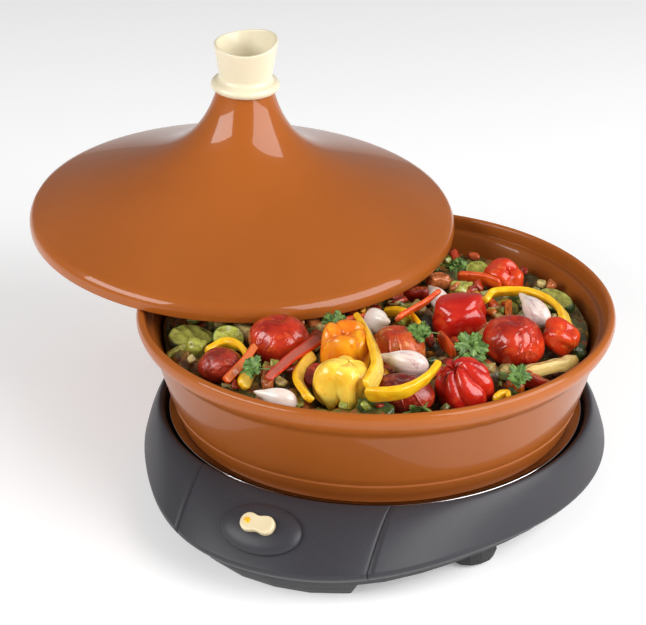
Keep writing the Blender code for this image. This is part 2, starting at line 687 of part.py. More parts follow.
def large_food():
    """The pieces that lie on the bed, in the order in which they were set down."""
    group = bpy.data.collections["electric_tagine"].objects
    first = len(group)

    def tomato(number, spot, turn, size):
        placed(ball(f"tomato_{number}", "tomato", size), spot, turn)

    def half_tomato(number, spot, turn, size, closed=False):
        piece = ball(f"tomato_half_{number}", "cut_tomato", size)
        placed(piece if closed else cut_flat(piece, 1), spot, turn)

    def pepper(kind, colour, spot, turn, size, lobes=4, taper=0.3):
        placed(ball(f"pepper_{kind}", colour, size, lobes, 0.07, taper, 14, 6), spot, turn)

    slab("courgette_7", (133, -23, -15), (-26, 0, 49), (56, 19, 8))
    tomato(1, (-42, -72, -8), (15, 10, 0), (42, 42, 38))
    tomato(2, (106, -7, -9), (0, -10, 0), (42, 40, 36))
    half_tomato(1, (37, -49, -8), (10, 8, 20), (40, 36, 31), True)
    half_tomato(2, (5, 65, -19), (-15, -10, 0), (30, 28, 22))
    half_tomato(3, (62, -103, -11), (0, 12, 30), (40, 32, 27), True)
    half_tomato(4, (-65, -117, -10), (10, -12, 0), (31, 27, 25), True)
    half_tomato(5, (134, -48, -11), (-18, 25, 20), (27, 20, 17))
    pepper("red_block", "red_pepper", (60, 13, -8), (70, 10, 25), (37, 35, 40), 4, 0.1)
    pepper("red_bonnet", "red_pepper", (98, -80, -8), (50, 35, 10), (39, 37, 37), 4, 0.35)
    pepper("yellow_bonnet", "yellow_pepper", (23, -114, -7), (168, 8, 0), (36, 34, 37), 5, 0.45)
    pepper("orange_bonnet", "orange_pepper", (9, -77, -2), (6, 5, 10), (30, 27, 38), 4, 0.7)
    pepper("orange_piece", "orange_pepper", (134, 14, -8), (20, 40, 30), (28, 26, 22), 3, 0.1)
    pepper("red_back", "red_pepper", (62, 102, -14), (20, 30, 0), (30, 26, 26), 3, 0.2)

    slab("courgette_1", (-110, -74, -19), (15, 8, 40), (34, 26, 8))
    slab("courgette_3", (-82, -71, -14), (60, 0, 30), (22, 20, 15))
    slab("courgette_4", (37, 115, -21), (25, 10, 0), (20, 18, 8))
    slab("courgette_5", (108, 79, -16), (24, 0, -28), (34, 20, 8))

    clove("garlic_1", (-12, -143, -10), (80, 0, -75), (27, 18, 15))
    clove("garlic_2", (12, -22, -4), (70, 10, 60), (27, 21, 19))
    clove("garlic_3", (30, 45, -12), (80, 0, -125), (27, 19, 16))
    clove("garlic_4", (105, 38, -4), (80, 10, -125), (35, 22, 20))
    clove("garlic_5", (52, -79, -1), (84, 0, -77), (33, 21, 19))

    yellow, red, orange = "yellow_pepper", "red_pepper", "orange_pepper"
    strip("strip_yellow_1", yellow, ((-84, -101, -10), (-78, -92, -7), (-68, -90, -5),
                                     (-54, -99, -5), (-44, -115, -7), (-38, -139, -8)), 10, 5, 35, 10)
    strip("strip_yellow_2", yellow, ((-10, -88, -4), (-11, -102, -4), (-6, -122, -5),
                                     (11, -141, -7)), 8, 5, 40)
    strip("strip_yellow_3", yellow, ((4, -41, 4), (18, -60, 5), (33, -82, 4), (44, -104, 2),
                                     (47, -127, -1)), 11, 5, 30)
    strip("strip_yellow_4", yellow, ((47, -131, -1), (61, -131, 2), (73, -124, 4), (80, -107, 6),
                                     (81, -88, 8)), 11, 5, 20)
    strip("strip_yellow_5", yellow, ((67, 40, -6), (70, 54, -4), (90, 62, -3), (108, 58, -3),
                                     (124, 45, -4), (133, 28, -6)), 11, 5, 40, 10)
    strip("strip_yellow_6", yellow, ((119, -85, -12), (121, -79, -11), (125, -76, -11),
                                     (128, -80, -11)), 7, 4, 10, 6)
    strip("strip_yellow_7", yellow, ((2, 15, -15), (14, 12, -11), (27, 2, -7), (42, -13, -8)), 9, 4, 30)
    strip("strip_red_1", red, ((-47, -101, 0), (-46, -119, -2), (-48, -145, -6)), 5.5, 3.5, 45, 6)
    strip("strip_red_2", red, ((-11, -73, 0), (-16, -106, 1), (-18, -122, 0), (-20, -138, -1)), 7, 3.5, 65)
    strip("strip_red_3", orange, ((31, 86, -12), (48, 87, -11), (66, 84, -12)), 11, 4, 20, 6)
    strip("strip_red_4", red, ((24, -20, -4), (30, -6, -2), (36, 7, 0), (40, 22, 2)), 9, 3.5, 35, 6)
    strip("strip_red_6", red, ((58, -24, -7), (67, -33, -6), (75, -40, -8)), 13, 4, 10, 6)
    strip("strip_orange_1", orange, ((-19, -26, -13), (-5, -9, -13), (8, -1, -12)), 12, 4, 10, 6)

    leaf("coriander_1", (-31, -136, 2), (28, 0, 10), 23)
    leaf("coriander_2", (-9, -50, 4), (30, 15, 40), 26)
    leaf("coriander_3", (24, 102, -12), (20, 5, 0), 24)
    leaf("coriander_4", (52, -46, 6), (20, -10, 70), 28)
    leaf("coriander_5", (89, -46, 2), (40, 10, 20), 34)
    leaf("coriander_7", (126, -66, -4), (25, 15, 0), 26)
    leaf("coriander_8", (80, -122, -9), (0, -32, -57), 24)
    pieces = list(group)[first:]
    settle(pieces)
    return pieces


def settle(pieces):
    """Lifts each piece, in order, until it is clear of the ones laid before it."""
    laid = []
    for piece in pieces:
        while too_close(piece, laid):
            piece.data.transform(Matrix.Translation((0, 0, 0.5 * MM)))
        laid.append(piece)


def tree(thing, grow=0.0):
    """A search tree of the piece's faces, moved out along the vertices' normals."""
    mesh = thing.data
    points = [vertex.co + vertex.normal * grow for vertex in mesh.vertices]
    return BVHTree.FromPolygons(points, [tuple(face.vertices) for face in mesh.polygons])


def too_close(thing, others):
    """Whether the piece, grown by the gap, meets any of the others."""
    grown = tree(thing, 1.5 * GAP)
    return any(grown.overlap(tree(other)) for other in others)


def bed_dome(x, y):
    """Level of the bed before the large pieces sink into it: a tilted, slightly crowned disc."""
    away = x * math.cos(BED_BEARING) + y * math.sin(BED_BEARING)
    crown = BED_CROWN * (1 - (math.hypot(x, y) / LEDGE_RADIUS) ** 2)
    ripple = 1.3 * MM * math.sin(x * 190 + 1) * math.cos(y * 170)
    return RIM_TOP + BED_LEVEL - BED_SLOPE * away + crown + ripple


def bed_radius(height):
    """Inner radius of the dish at a height, less the gap."""
    low_radius = WALL_FOOT_RADIUS - WALL_THICKNESS + 1 * MM
    low = DISH_FLOOR + 16 * MM
    high_radius = LEDGE_RADIUS - 3.5 * MM
    high = RIM_TOP - LEDGE_DEPTH - 6 * MM
    share = (height - low) / (high - low)
    return low_radius + share * (high_radius - low_radius) - 3 * GAP


def chunks(trees):
    """Diced pieces that show between the large ones, each a rough block on the bed.

    Those of CHUNK_SPOTS have a given place and size; the others are drawn at random.
    """
    draw = random.Random(SEED)
    found = []
    for x, y, level, size in CHUNK_SPOTS:
        middle = Vector((x * MM, y * MM, RIM_TOP + level * MM))
        found.append((middle, size * MM, Euler([draw.uniform(0, 6) for _ in range(3)])))
    tries = 0
    while len(found) < CHUNKS and tries < 4000:
        tries += 1
        radius = 138 * MM * math.sqrt(draw.random())
        angle = draw.uniform(0, 2 * math.pi)
        size = CHUNK_SIZE * draw.uniform(0.8, 1.5)
        x, y = radius * math.cos(angle), radius * math.sin(angle)
        middle = Vector((x, y, bed_surface(x, y, trees) + size * 0.12))
        turn = Euler([draw.uniform(0, 6) for _ in range(3)])
        clear = all(near.find_nearest(middle, size * 0.95)[0] is None for near in trees)
        if clear and all((middle - other[0]).length > 1.4 * size for other in found):
            found.append((middle, size, turn))
    return found


def food_bed(pieces):
    """The heap under the large pieces: a disc whose top dips below each of them."""
    trees = [tree(piece) for piece in pieces]
    edge_height = RIM_TOP + BED_LEVEL
    edge = bed_radius(edge_height)
    points = []
    for step in range(TURN_STEPS):
        angle = 2 * math.pi * step / TURN_STEPS
        points.append(Vector((edge * math.cos(angle), edge * math.sin(angle))))
    rows = int(edge / (BED_SPACING * 0.866)) + 1
    for row in range(-rows, rows + 1):
        for column in range(-rows - 2, rows + 3):
            spot = Vector((BED_SPACING * (column + 0.5 * (row % 2)), BED_SPACING * 0.866 * row))
            if spot.length < edge - 0.6 * BED_SPACING:
                points.append(spot)
    flat, _, faces, *_ = delaunay_2d_cdt(points, [], [list(range(TURN_STEPS))], 1, 1e-6)
    shape = bmesh.new()
    top = []
    for x, y in flat:
        level = bed_surface(x, y, trees)
        inward = min(1.0, bed_radius(level) / max(math.hypot(x, y), MM))
        top.append(shape.verts.new((x * inward, y * inward, level)))
    for face in faces:
        shape.faces.new([top[i] for i in face])
    bmesh.ops.recalc_face_normals(shape, faces=shape.faces)
    if sum(face.normal.z for face in shape.faces) < 0:
        bmesh.ops.reverse_faces(shape, faces=shape.faces)
    loop = [item for item in shape.edges if item.is_boundary]
    for height, radius in ((DISH_FLOOR + 17 * MM, bed_radius(DISH_FLOOR + 17 * MM)),
                           (DISH_FLOOR + 6 * MM, 129 * MM), (DISH_FLOOR + GAP, 110 * MM)):
        made = bmesh.ops.extrude_edge_only(shape, edges=loop)["geom"]
        for vertex in (item for item in made if isinstance(item, bmesh.types.BMVert)):
            angle = math.atan2(vertex.co.y, vertex.co.x)
            vertex.co = (radius * math.cos(angle), radius * math.sin(angle), height)
        loop = [item for item in made if isinstance(item, bmesh.types.BMEdge)]
    bmesh.ops.edgeloop_fill(shape, edges=loop)
    bmesh.ops.recalc_face_normals(shape, faces=shape.faces)
    bed = from_bmesh("food_bed", shape, "vegetable_bed")
    extras = bpy.data.collections.new("chunks")
    bpy.context.scene.collection.children.link(extras)
    for number, (middle, size, turn) in enumerate(chunks(trees)):
        piece = ball(f"chunk_{number}", "vegetable_bed", [size / MM] * 3, segments=6, rings=4)
        piece.data.transform(Matrix.Translation(middle) @ turn.to_matrix().to_4x4())
        bpy.data.collections["electric_tagine"].objects.unlink(piece)
        extras.objects.link(piece)
    step = bed.modifiers.new("Join", "BOOLEAN")
    step.operation = "UNION"
    step.operand_type = "COLLECTION"
    step.collection = extras
    baked(bed)
    for piece in list(extras.objects):
        bpy.data.objects.remove(piece, do_unlink=True)
    bpy.data.collections.remove(extras)


def bed_surface(x, y, trees):
    """The bed's top at a place: the dome, lowered until it is clear of every large piece."""
    level = bed_dome(x, y)
    floor = RIM_TOP - 60 * MM
    starts = [Vector((x, y, floor))]
    for step in range(8):
        angle = math.pi * step / 4
        aside = Vector((math.cos(angle), math.sin(angle), 0)) * 0.7 * BED_SPACING
        starts.append(starts[0] + aside)
    for near in trees:
        for start in starts:
            hit = near.ray_cast(start, Vector((0, 0, 1)))[0]
            if hit is not None:
                level = min(level, hit.z - BED_CLEARANCE / 2)
    while any(near.find_nearest(Vector((x, y, level)), BED_CLEARANCE)[0] for near in trees):
        level -= 1 * MM
    return level


def centre_all():
    """Moves every piece so that the origin is the middle of the bounding box's underside."""
    bpy.context.view_layer.update()
    things = bpy.data.collections["electric_tagine"].objects
    spots = [thing.matrix_world @ vertex.co for thing in things for vertex in thing.data.vertices]
    low = Vector([min(spot[axis] for spot in spots) for axis in range(3)])
    high = Vector([max(spot[axis] for spot in spots) for axis in range(3)])
    shift = Vector(((low.x + high.x) / 2, (low.y + high.y) / 2, low.z))
    for thing in things:
        thing.matrix_world = Matrix.Translation(-shift) @ thing.matrix_world
    for thing in things:
        thing.data.shade_smooth()
        thing.data.set_sharp_from_angle(angle=math.radians(35))


start_scene()
heating_base()
dish()
place_of_lid = lid_frame()
lid(place_of_lid)
handle(place_of_lid)
food_bed(large_food())
centre_all()
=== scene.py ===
# %% [markdown]
# # A clay dish of vegetables on an electric base
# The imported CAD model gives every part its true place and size, in metres. This lesson lays a
# finely made surface over each part, paints it, and sets up the photographer's table.

import bmesh
import bpy
import numpy as np
from mathutils import Euler, Matrix, Vector
from mathutils.bvhtree import BVHTree


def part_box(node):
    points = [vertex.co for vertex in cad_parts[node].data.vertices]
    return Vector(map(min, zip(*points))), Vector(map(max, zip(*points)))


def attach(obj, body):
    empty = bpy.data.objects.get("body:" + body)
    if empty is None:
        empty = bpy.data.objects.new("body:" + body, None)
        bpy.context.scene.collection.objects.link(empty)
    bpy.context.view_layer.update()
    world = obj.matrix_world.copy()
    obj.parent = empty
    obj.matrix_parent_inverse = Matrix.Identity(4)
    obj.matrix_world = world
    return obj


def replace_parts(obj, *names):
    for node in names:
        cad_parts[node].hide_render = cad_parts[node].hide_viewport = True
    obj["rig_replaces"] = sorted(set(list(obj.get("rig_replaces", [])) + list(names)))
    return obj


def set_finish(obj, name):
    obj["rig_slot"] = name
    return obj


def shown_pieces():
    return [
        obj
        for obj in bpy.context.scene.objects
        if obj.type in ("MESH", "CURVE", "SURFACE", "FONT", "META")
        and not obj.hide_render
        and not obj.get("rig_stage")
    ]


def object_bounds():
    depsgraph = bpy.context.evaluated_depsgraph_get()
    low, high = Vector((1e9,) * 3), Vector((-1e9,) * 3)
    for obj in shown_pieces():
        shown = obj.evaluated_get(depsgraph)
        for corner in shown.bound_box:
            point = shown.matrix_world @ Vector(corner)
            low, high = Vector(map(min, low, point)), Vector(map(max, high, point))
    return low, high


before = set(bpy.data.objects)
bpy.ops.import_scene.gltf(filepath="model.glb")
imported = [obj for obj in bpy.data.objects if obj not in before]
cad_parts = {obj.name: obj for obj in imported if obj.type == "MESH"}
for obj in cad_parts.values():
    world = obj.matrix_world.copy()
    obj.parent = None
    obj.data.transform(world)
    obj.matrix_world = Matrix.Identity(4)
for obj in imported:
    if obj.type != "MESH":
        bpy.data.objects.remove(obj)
cad_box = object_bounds()

# %% [markdown]
# ## Units and the dish's axis
# Everything round was designed about the dish's axis, so the axis is found first: it is the
# middle of the dish's box. Sizes below are in millimetres until a mesh is made.

# %% Units and axis
MM = 0.001
TURN = 2 * np.pi
dish_low, dish_high = (np.array(corner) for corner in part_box("dish"))
AXIS = np.array([*(dish_low + dish_high)[:2] / 2, 0])
RIM_TOP = dish_high[2] / MM
print("dish axis", AXIS.round(4), "rim at", round(RIM_TOP, 1), "mm")

# %% [markdown]
# ## The camera
# The photograph was taken with a long lens from in front, to the right and above. A camera was
# fitted to the ellipses of the dish, and its numbers are used here as they came out.

# %% Camera
def add_camera(spot, forward, up, lens):
    """A camera at a point, looking along one direction with another as its upright."""
    data = bpy.data.cameras.new("Camera")
    data.lens = lens
    data.sensor_width = 36
    data.clip_end = 20
    camera = bpy.data.objects.new("Camera", data)
    bpy.context.scene.collection.objects.link(camera)
    forward = Vector(forward).normalized()
    right = forward.cross(Vector(up)).normalized()
    above = right.cross(forward)
    turn = Matrix((right, above, -forward)).transposed()
    camera.matrix_world = Matrix.Translation(spot) @ turn.to_4x4()
    bpy.context.scene.camera = camera
    return camera


CAMERA_SPOT = (0.544179, -1.200176, 0.748497)
CAMERA_FORWARD = (-0.36058476, 0.8222279, -0.44036339)
CAMERA_UP = (-0.17292991, 0.40500616, 0.89781137)
CAMERA_LENS = 110.68
camera = add_camera(CAMERA_SPOT, CAMERA_FORWARD, CAMERA_UP, CAMERA_LENS)
view_line = camera.matrix_world.to_quaternion() @ Vector((0, 0, -1))
print("camera looks along", [round(x, 2) for x in view_line])

# %% [markdown]
# ## The table and the studio
# The picture was cut out on white, lit by two large soft windows that show as pale patches on
# the lid's cone. Here that is a pale floor that glows a little, a soft even world, and two area
# lamps for the windows.

# %% Floor and lights
FLOOR_REACH, FLOOR_TONE, FLOOR_GLOW = 8.0, 0.88, 0.22
WORLD_LIGHT = 0.23
WINDOW_AIM = (0, 0, 0.15)


def add_floor():
    """A wide pale square on which the feet stand; a faint glow keeps it near white."""
    mesh = bpy.data.meshes.new("floor")
    corners = [(-1, -1, 0), (1, -1, 0), (1, 1, 0), (-1, 1, 0)]
    mesh.from_pydata((np.array(corners) * FLOOR_REACH).tolist(), [], [(0, 1, 2, 3)])
    floor = bpy.data.objects.new("floor", mesh)
    bpy.context.scene.collection.objects.link(floor)
    paint = bpy.data.materials.new("pale floor")
    paint.use_nodes = True
    shader = paint.node_tree.nodes["Principled BSDF"]
    shader.inputs["Base Color"].default_value = (FLOOR_TONE, FLOOR_TONE, FLOOR_TONE, 1)
    shader.inputs["Roughness"].default_value = 0.9
    shader.inputs["Specular IOR Level"].default_value = 0.1
    shader.inputs["Emission Color"].default_value = (1, 1, 1, 1)
    shader.inputs["Emission Strength"].default_value = FLOOR_GLOW
    mesh.materials.append(paint)
    floor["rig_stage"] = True


def add_window(name, spot, width, height, power):
    """A soft rectangular lamp that faces the dish."""
    data = bpy.data.lights.new(name, "AREA")
    data.shape = "RECTANGLE"
    data.size, data.size_y = width, height
    data.energy = power
    lamp = bpy.data.objects.new(name, data)
    bpy.context.scene.collection.objects.link(lamp)
    lamp.location = spot
    lamp.rotation_euler = (Vector(WINDOW_AIM) - Vector(spot)).to_track_quat("-Z", "Y").to_euler()


def set_world(brightness):
    """An even surrounding without colour."""
    world = bpy.data.worlds.new("studio")
    world.use_nodes = True
    sky = world.node_tree.nodes["Background"]
    sky.inputs["Color"].default_value = (1, 1, 1, 1)
    sky.inputs["Strength"].default_value = brightness
    bpy.context.scene.world = world


add_floor()
set_world(WORLD_LIGHT)
add_window("window_left", (-1.13, -1.44, 1.05), width=1.7, height=0.8, power=34)
add_window("window_right", (1.76, -0.15, 1.05), width=2.2, height=1.5, power=60)

bpy.context.scene.view_settings.view_transform = "Standard"

# %% [markdown]
# ## From numbers to a mesh
# Each surface below is a table of points: rows run one way over it and columns the other.
# Numpy works the whole table out at once. A table becomes a mesh by joining each point to its
# neighbours with four-sided faces, and points that fall together, as at a pole, are merged.

# %% Mesh from a table of points
def quads(index):
    """Four-sided faces between neighbours in a table of point numbers."""
    faces = np.stack([index[:-1, :-1], index[:-1, 1:], index[1:, 1:], index[1:, :-1]], -1)
    return faces.reshape(-1, 4)


def surface(name, points, ring=True, closed=False):
    """A mesh object from points (rows, columns, 3) in metres: ring joins the last column to the
    first, and closed joins the last row to the first."""
    rows, columns = points.shape[:2]
    index = np.arange(rows * columns).reshape(rows, columns)
    if ring:
        index = np.hstack([index, index[:, :1]])
    if closed:
        index = np.vstack([index, index[:1]])
    return mesh_object(name, points.reshape(-1, 3), quads(index))


def mesh_object(name, points, faces, own=None):
    """A smooth-shaded mesh object with its doubles merged and its faces turned outwards; own is
    a vector that each point keeps as an attribute."""
    mesh = bpy.data.meshes.new(name)
    mesh.from_pydata(points.tolist(), [], faces.tolist())
    if own is not None:
        mesh.attributes.new("own", "FLOAT_VECTOR", "POINT").data.foreach_set("vector", own.ravel())
    shape = bmesh.new()
    shape.from_mesh(mesh)
    bmesh.ops.remove_doubles(shape, verts=shape.verts, dist=2e-6)
    bmesh.ops.recalc_face_normals(shape, faces=shape.faces)
    shape.to_mesh(mesh)
    shape.free()
    mesh.shade_smooth()
    thing = bpy.data.objects.new(name, mesh)
    bpy.context.scene.collection.objects.link(thing)
    return thing


def stand_in(thing, material, slot, *nodes, body="tagine"):
    """Gives a finished piece its material, and puts it in the place of the CAD nodes named."""
    thing.data.materials.append(material)
    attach(thing, body)
    if nodes:
        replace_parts(thing, *nodes)
    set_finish(thing, slot)
    print(f"{thing.name}: {len(thing.data.polygons)} faces")
    return thing


# %% [markdown]
# ## Shorthand for material nodes
# Food needs richer patterns, so a few helpers add one node each: an input that is given as
# another node's output is linked, and any other value is set.

# %% Node helpers
def start_material(name, roughness, **sockets):
    """A material with its shader's constants set."""
    made = bpy.data.materials.new(name)
    made.use_nodes = True
    shader = made.node_tree.nodes["Principled BSDF"]
    shader.inputs["Roughness"].default_value = roughness
    for socket, value in sockets.items():
        shader.inputs[socket.replace("_", " ")].default_value = value
    return made


def node(made, kind, inputs=(), **settings):
    """A new shader node with its settings and inputs."""
    new = made.node_tree.nodes.new("ShaderNode" + kind)
    for key, value in settings.items():
        setattr(new, key, value)
    for key, value in dict(inputs).items():
        if isinstance(value, bpy.types.NodeSocket):
            made.node_tree.links.new(value, new.inputs[key])
        else:
            new.inputs[key].default_value = value
    return new


def ramp(made, value, steps):
    """A colour ramp over a value, from (place, colour) steps; its colour output."""
    new = node(made, "ValToRGB", {"Fac": value})
    marks = new.color_ramp.elements
    for mark, (place, colour) in zip((marks[0], marks[1]), (steps[0], steps[-1])):
        mark.position, mark.color = place, (*colour, 1)
    for place, colour in steps[1:-1]:
        marks.new(place).color = (*colour, 1)
    return new.outputs["Color"]


def connect(made, output, socket):
    """Links an output to one of the shader's sockets."""
    made.node_tree.links.new(output, made.node_tree.nodes["Principled BSDF"].inputs[socket])


def mix(made, share, first, second, blend="MIX"):
    """Two colours blended by a share."""
    return node(made, "MixRGB", {"Fac": share, "Color1": first, "Color2": second},
                blend_type=blend).outputs["Color"]


def clouds(made, spot, scale, detail):
    """Soft noise between 0 and 1 over a vector."""
    return node(made, "TexNoise", {"Vector": spot, "Scale": scale, "Detail": detail}).outputs["Fac"]


def own_spot(made):
    """The coordinates that a food mesh keeps as its own."""
    return node(made, "Attribute", attribute_name="own").outputs["Vector"]


def bump(made, height, distance):
    """Small dents of that distance in metres from a height between 0 and 1."""
    dents = node(made, "Bump", {"Height": height, "Distance": distance, "Strength": 1.0})
    connect(made, dents.outputs["Normal"], "Normal")


# %% [markdown]
# ## Materials
# A material here is a short chain of nodes: a pattern that reads the object's own coordinates,
# a colour ramp that turns the pattern into colours, and a bump that turns it into small dents.
# One helper builds the chain, so each finish is a few numbers.

# %% Material helper
def finish(name, tones, scale, roughness, detail=4, dents=0.0, dent_scale=None,
           contrast=(0.3, 0.7), rough_spread=0.0, **sockets):
    """A material whose colour runs through its tones over soft noise, with finer noise as dents.
    Scales are in waves a metre; further named sockets are set on the shader."""
    made = start_material(name, roughness, **sockets)
    where = node(made, "TexCoord").outputs["Object"]
    drift = clouds(made, where, scale, detail)
    places = np.linspace(*contrast, len(tones))
    connect(made, ramp(made, drift, list(zip(places, tones))), "Base Color")
    if rough_spread:
        spread = node(made, "MapRange", {"Value": drift, "To Min": roughness - rough_spread,
                                         "To Max": roughness + rough_spread})
        connect(made, spread.outputs["Result"], "Roughness")
    if dents:
        bump(made, clouds(made, where, dent_scale, 3), dents)
    return made


# Painted shade on the dish: the share that darkens the clay inside the lip's outer edge, and the
# share that lifts it a little below the lip's crease
INSIDE_PAINTED_SHADE, WALL_PAINTED_SHADE_LIFT = 0.74, 1.05


def paint_shade_on_dish(made):
    """Painted shade on the dish's clay: it is darker inside and on its outer wall than on its lip.
    Its colour is multiplied by a share that depends on the distance from the dish's axis and the
    height."""
    where = node(made, "TexCoord").outputs["Object"]
    flat = node(made, "Mapping", {"Vector": where, "Location": (-AXIS[0], -AXIS[1], 0),
                                  "Scale": (1, 1, 0)}).outputs["Vector"]
    away = node(made, "VectorMath", {0: flat}, operation="LENGTH").outputs["Value"]
    height = node(made, "SeparateXYZ", {"Vector": where}).outputs["Z"]
    # painted shade: the clay is darker inside the lip's outer edge
    lip = node(made, "MapRange", {"Value": away, "From Min": 0.1625, "From Max": 0.1655,
                                  "To Min": INSIDE_PAINTED_SHADE, "To Max": 1.0}).outputs["Result"]
    wall = node(made, "MapRange", {"Value": height, "From Min": 0.113, "From Max": 0.118,
                                   "To Min": WALL_PAINTED_SHADE_LIFT, "To Max": 1.0}).outputs["Result"]
    share = node(made, "Math", {0: lip, 1: wall}, operation="MULTIPLY").outputs[0]
    shader = made.node_tree.nodes["Principled BSDF"]
    colour = shader.inputs["Base Color"].links[0].from_socket
    # the clay's colour times the share of painted shade
    deep = node(made, "VectorMath", {0: colour, "Scale": share}, operation="SCALE")
    connect(made, deep.outputs["Vector"], "Base Color")
    return made


def paint(material, *names):
    """Puts a material on CAD nodes whose shapes are kept."""
    for name in names:
        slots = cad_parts[name].data.materials
        slots.clear()
        slots.append(material)


CLAY = {"tones": [(0.325, 0.084, 0.011), (0.375, 0.099, 0.015)], "scale": 9, "roughness": 0.3,
        "dents": 0.00003, "dent_scale": 260, "Specular_IOR_Level": 0.1, "Coat_Roughness": 0.025}
clay = finish("glazed clay", Coat_Weight=0.55, **CLAY)
# the dish's clay, with painted shade inside and on its outer wall
dish_clay_with_painted_shade = paint_shade_on_dish(finish("glazed dish clay with painted shade", Coat_Weight=0.4, **CLAY))
cream = finish("cream glaze", [(0.70, 0.62, 0.44), (0.76, 0.69, 0.51)], 20, 0.25, dents=0.00004,
               dent_scale=300)
cream_plastic = finish("cream plastic", [(0.64, 0.53, 0.33), (0.69, 0.59, 0.38)], 60, 0.34,
                       dents=0.00003, dent_scale=900)
grey = finish("satin grey plastic", [(0.027, 0.026, 0.030), (0.041, 0.039, 0.046)], 2600, 0.42,
              Specular_IOR_Level=0.28, detail=2, dents=0.00002, dent_scale=2400,
              contrast=(0.42, 0.6))
black = finish("matt black plastic", [(0.012, 0.012, 0.014), (0.020, 0.020, 0.023)], 900, 0.5,
               detail=2, dents=0.00003, dent_scale=1500)
rubber = finish("rubber", [(0.018, 0.018, 0.019), (0.028, 0.028, 0.030)], 500, 0.75,
                detail=2, dents=0.00004, dent_scale=1200)
steel = finish("polished steel", [(0.62, 0.62, 0.63), (0.70, 0.70, 0.71)], 30, 0.10,
               rough_spread=0.03, Metallic=1.0)
amber = finish("amber lens", [(0.85, 0.33, 0.01), (1.0, 0.52, 0.03)], 500, 0.15,
               Coat_Weight=0.6, Coat_Roughness=0.05)
print("finishes", len(bpy.data.materials))

# %% [markdown]
# ## Round parts from a profile
# A potter's wheel makes a dish from one outline. The same is done here: a list of corners, each
# with its own rounding, is turned into a smooth profile, and the profile is carried round the
# axis. A real lip is never sharp, so every corner gets a small curve.

# %% Profiles and the potter's wheel
def rounded(corners, steps=7):
    """A profile (radius, height) from corners (radius, height, rounding) in mm: each corner
    becomes a short parabola that starts and ends one rounding away, or half way along its side."""
    corners = np.array(corners, float)
    spots, rounding = corners[:, :2], corners[:, 2]
    profile = [spots[:1]]
    t = np.linspace(0, 1, steps)[:, None]
    for i in range(1, len(spots) - 1):
        before, corner, after = spots[i - 1:i + 2]
        back, ahead = before - corner, after - corner
        lengths = np.linalg.norm(back), np.linalg.norm(ahead)
        reach = min(rounding[i], 0.49 * lengths[0], 0.49 * lengths[1])
        start = corner + back / lengths[0] * reach
        end = corner + ahead / lengths[1] * reach
        profile.append((1 - t) ** 2 * start + 2 * t * (1 - t) * corner + t * t * end)
    profile.append(spots[-1:])
    return np.concatenate(profile)


def turned(profile, steps=192):
    """Points (rows, steps, 3) in mm: x = r sin a, y = -r cos a, z = height, for each bearing a."""
    bearing = np.linspace(0, TURN, steps, endpoint=False)
    radius, height = profile[:, :1], profile[:, 1:2]
    return np.stack([radius * np.sin(bearing), -radius * np.cos(bearing),
                     np.broadcast_to(height, (len(profile), steps))], -1)


def on_axis(points):
    """Millimetres about the dish's axis to metres in the frame."""
    return points * MM + AXIS


# %% [markdown]
# ## The dish
# The dish is a straight-sided clay pan with a rolled lip, a ledge inside for the lid, and a foot
# ring below a crease. It is one closed outline, from the middle of its floor over the lip and
# down to the middle of its underside.

# %% Dish
dish_profile = rounded([
    (0, 66, 0), (112, 66, 14), (131, 71, 10), (142, 82, 12), (155, 117, 4), (158.5, 123, 1.5),
    (162.5, 123.6, 1.2), (163.2, 130, 2.5), (164.4, 133.4, 1.6), (166.8, 134.2, 1.4),
    (169.2, 132.4, 2.4), (170.1, 128, 4), (167.8, 121.5, 4), (162.4, 116.3, 1.6),
    (159.9, 113.2, 2), (148.1, 72.6, 2.2), (145.9, 68.5, 0.9), (146.4, 67.2, 0.8),
    (141, 52.3, 2), (131, 52.3, 2), (129, 58.3, 2), (0, 58.3, 0)])
stand_in(surface("clay_dish", on_axis(turned(dish_profile, 256))), dish_clay_with_painted_shade, "clay_glaze", "dish")

# %% [markdown]
# ## The steel tray
# The dish stands in a thin polished tray that is part of the base. Its rim shows as a bright
# line round the foot of the dish.

# %% Tray
tray_profile = rounded([
    (0, 52, 0), (142.6, 52, 3), (146.4, 53.8, 2), (148.4, 55.1, 0.4), (148.9, 55.4, 0.3),
    (149.4, 54.9, 0.3), (147.8, 53.3, 1), (143.2, 50.8, 2), (0, 50.8, 0)])
stand_in(surface("steel_tray", on_axis(turned(tray_profile, 256))), steel, "polished_steel",
         "heating_tray")

# %% [markdown]
# ## The lid
# A tagine's lid is a cone whose side sweeps out into a flat brim. Its height above the bottom
# edge is a soft brim term plus a cone term that steepens towards the neck. The inside is the
# same curve one wall thickness in. The lid leans on the dish's rim, so its outline is turned
# first and then tilted and moved as a whole.

# %% Lid
LID_RADIUS, LID_BAND, NECK_RADIUS, NECK_HEIGHT = 162.5, 11.5, 21.2, 109.3
LID_WALL = 6.0
LID_DISTANCE, LID_BEARING, LID_TILT = 164.5, np.radians(150.5), np.radians(3.7)
RIM_CONTACT, LID_GAP = 166.6, 0.3


def lid_height(radius):
    """Height of the outside in mm: band + brim x (1 - share^1.6) + cone that falls as 1/r."""
    brim_rise, brim_power, cone_power = 34.9, 1.6, 1.0
    neck = NECK_RADIUS / LID_RADIUS
    brim = brim_rise * (1 - (radius / LID_RADIUS) ** brim_power)
    peak = NECK_HEIGHT - LID_BAND - brim_rise * (1 - neck ** brim_power)
    edge = neck ** cone_power
    cone = peak * ((NECK_RADIUS / radius) ** cone_power - edge) / (1 - edge)
    return LID_BAND + brim + cone


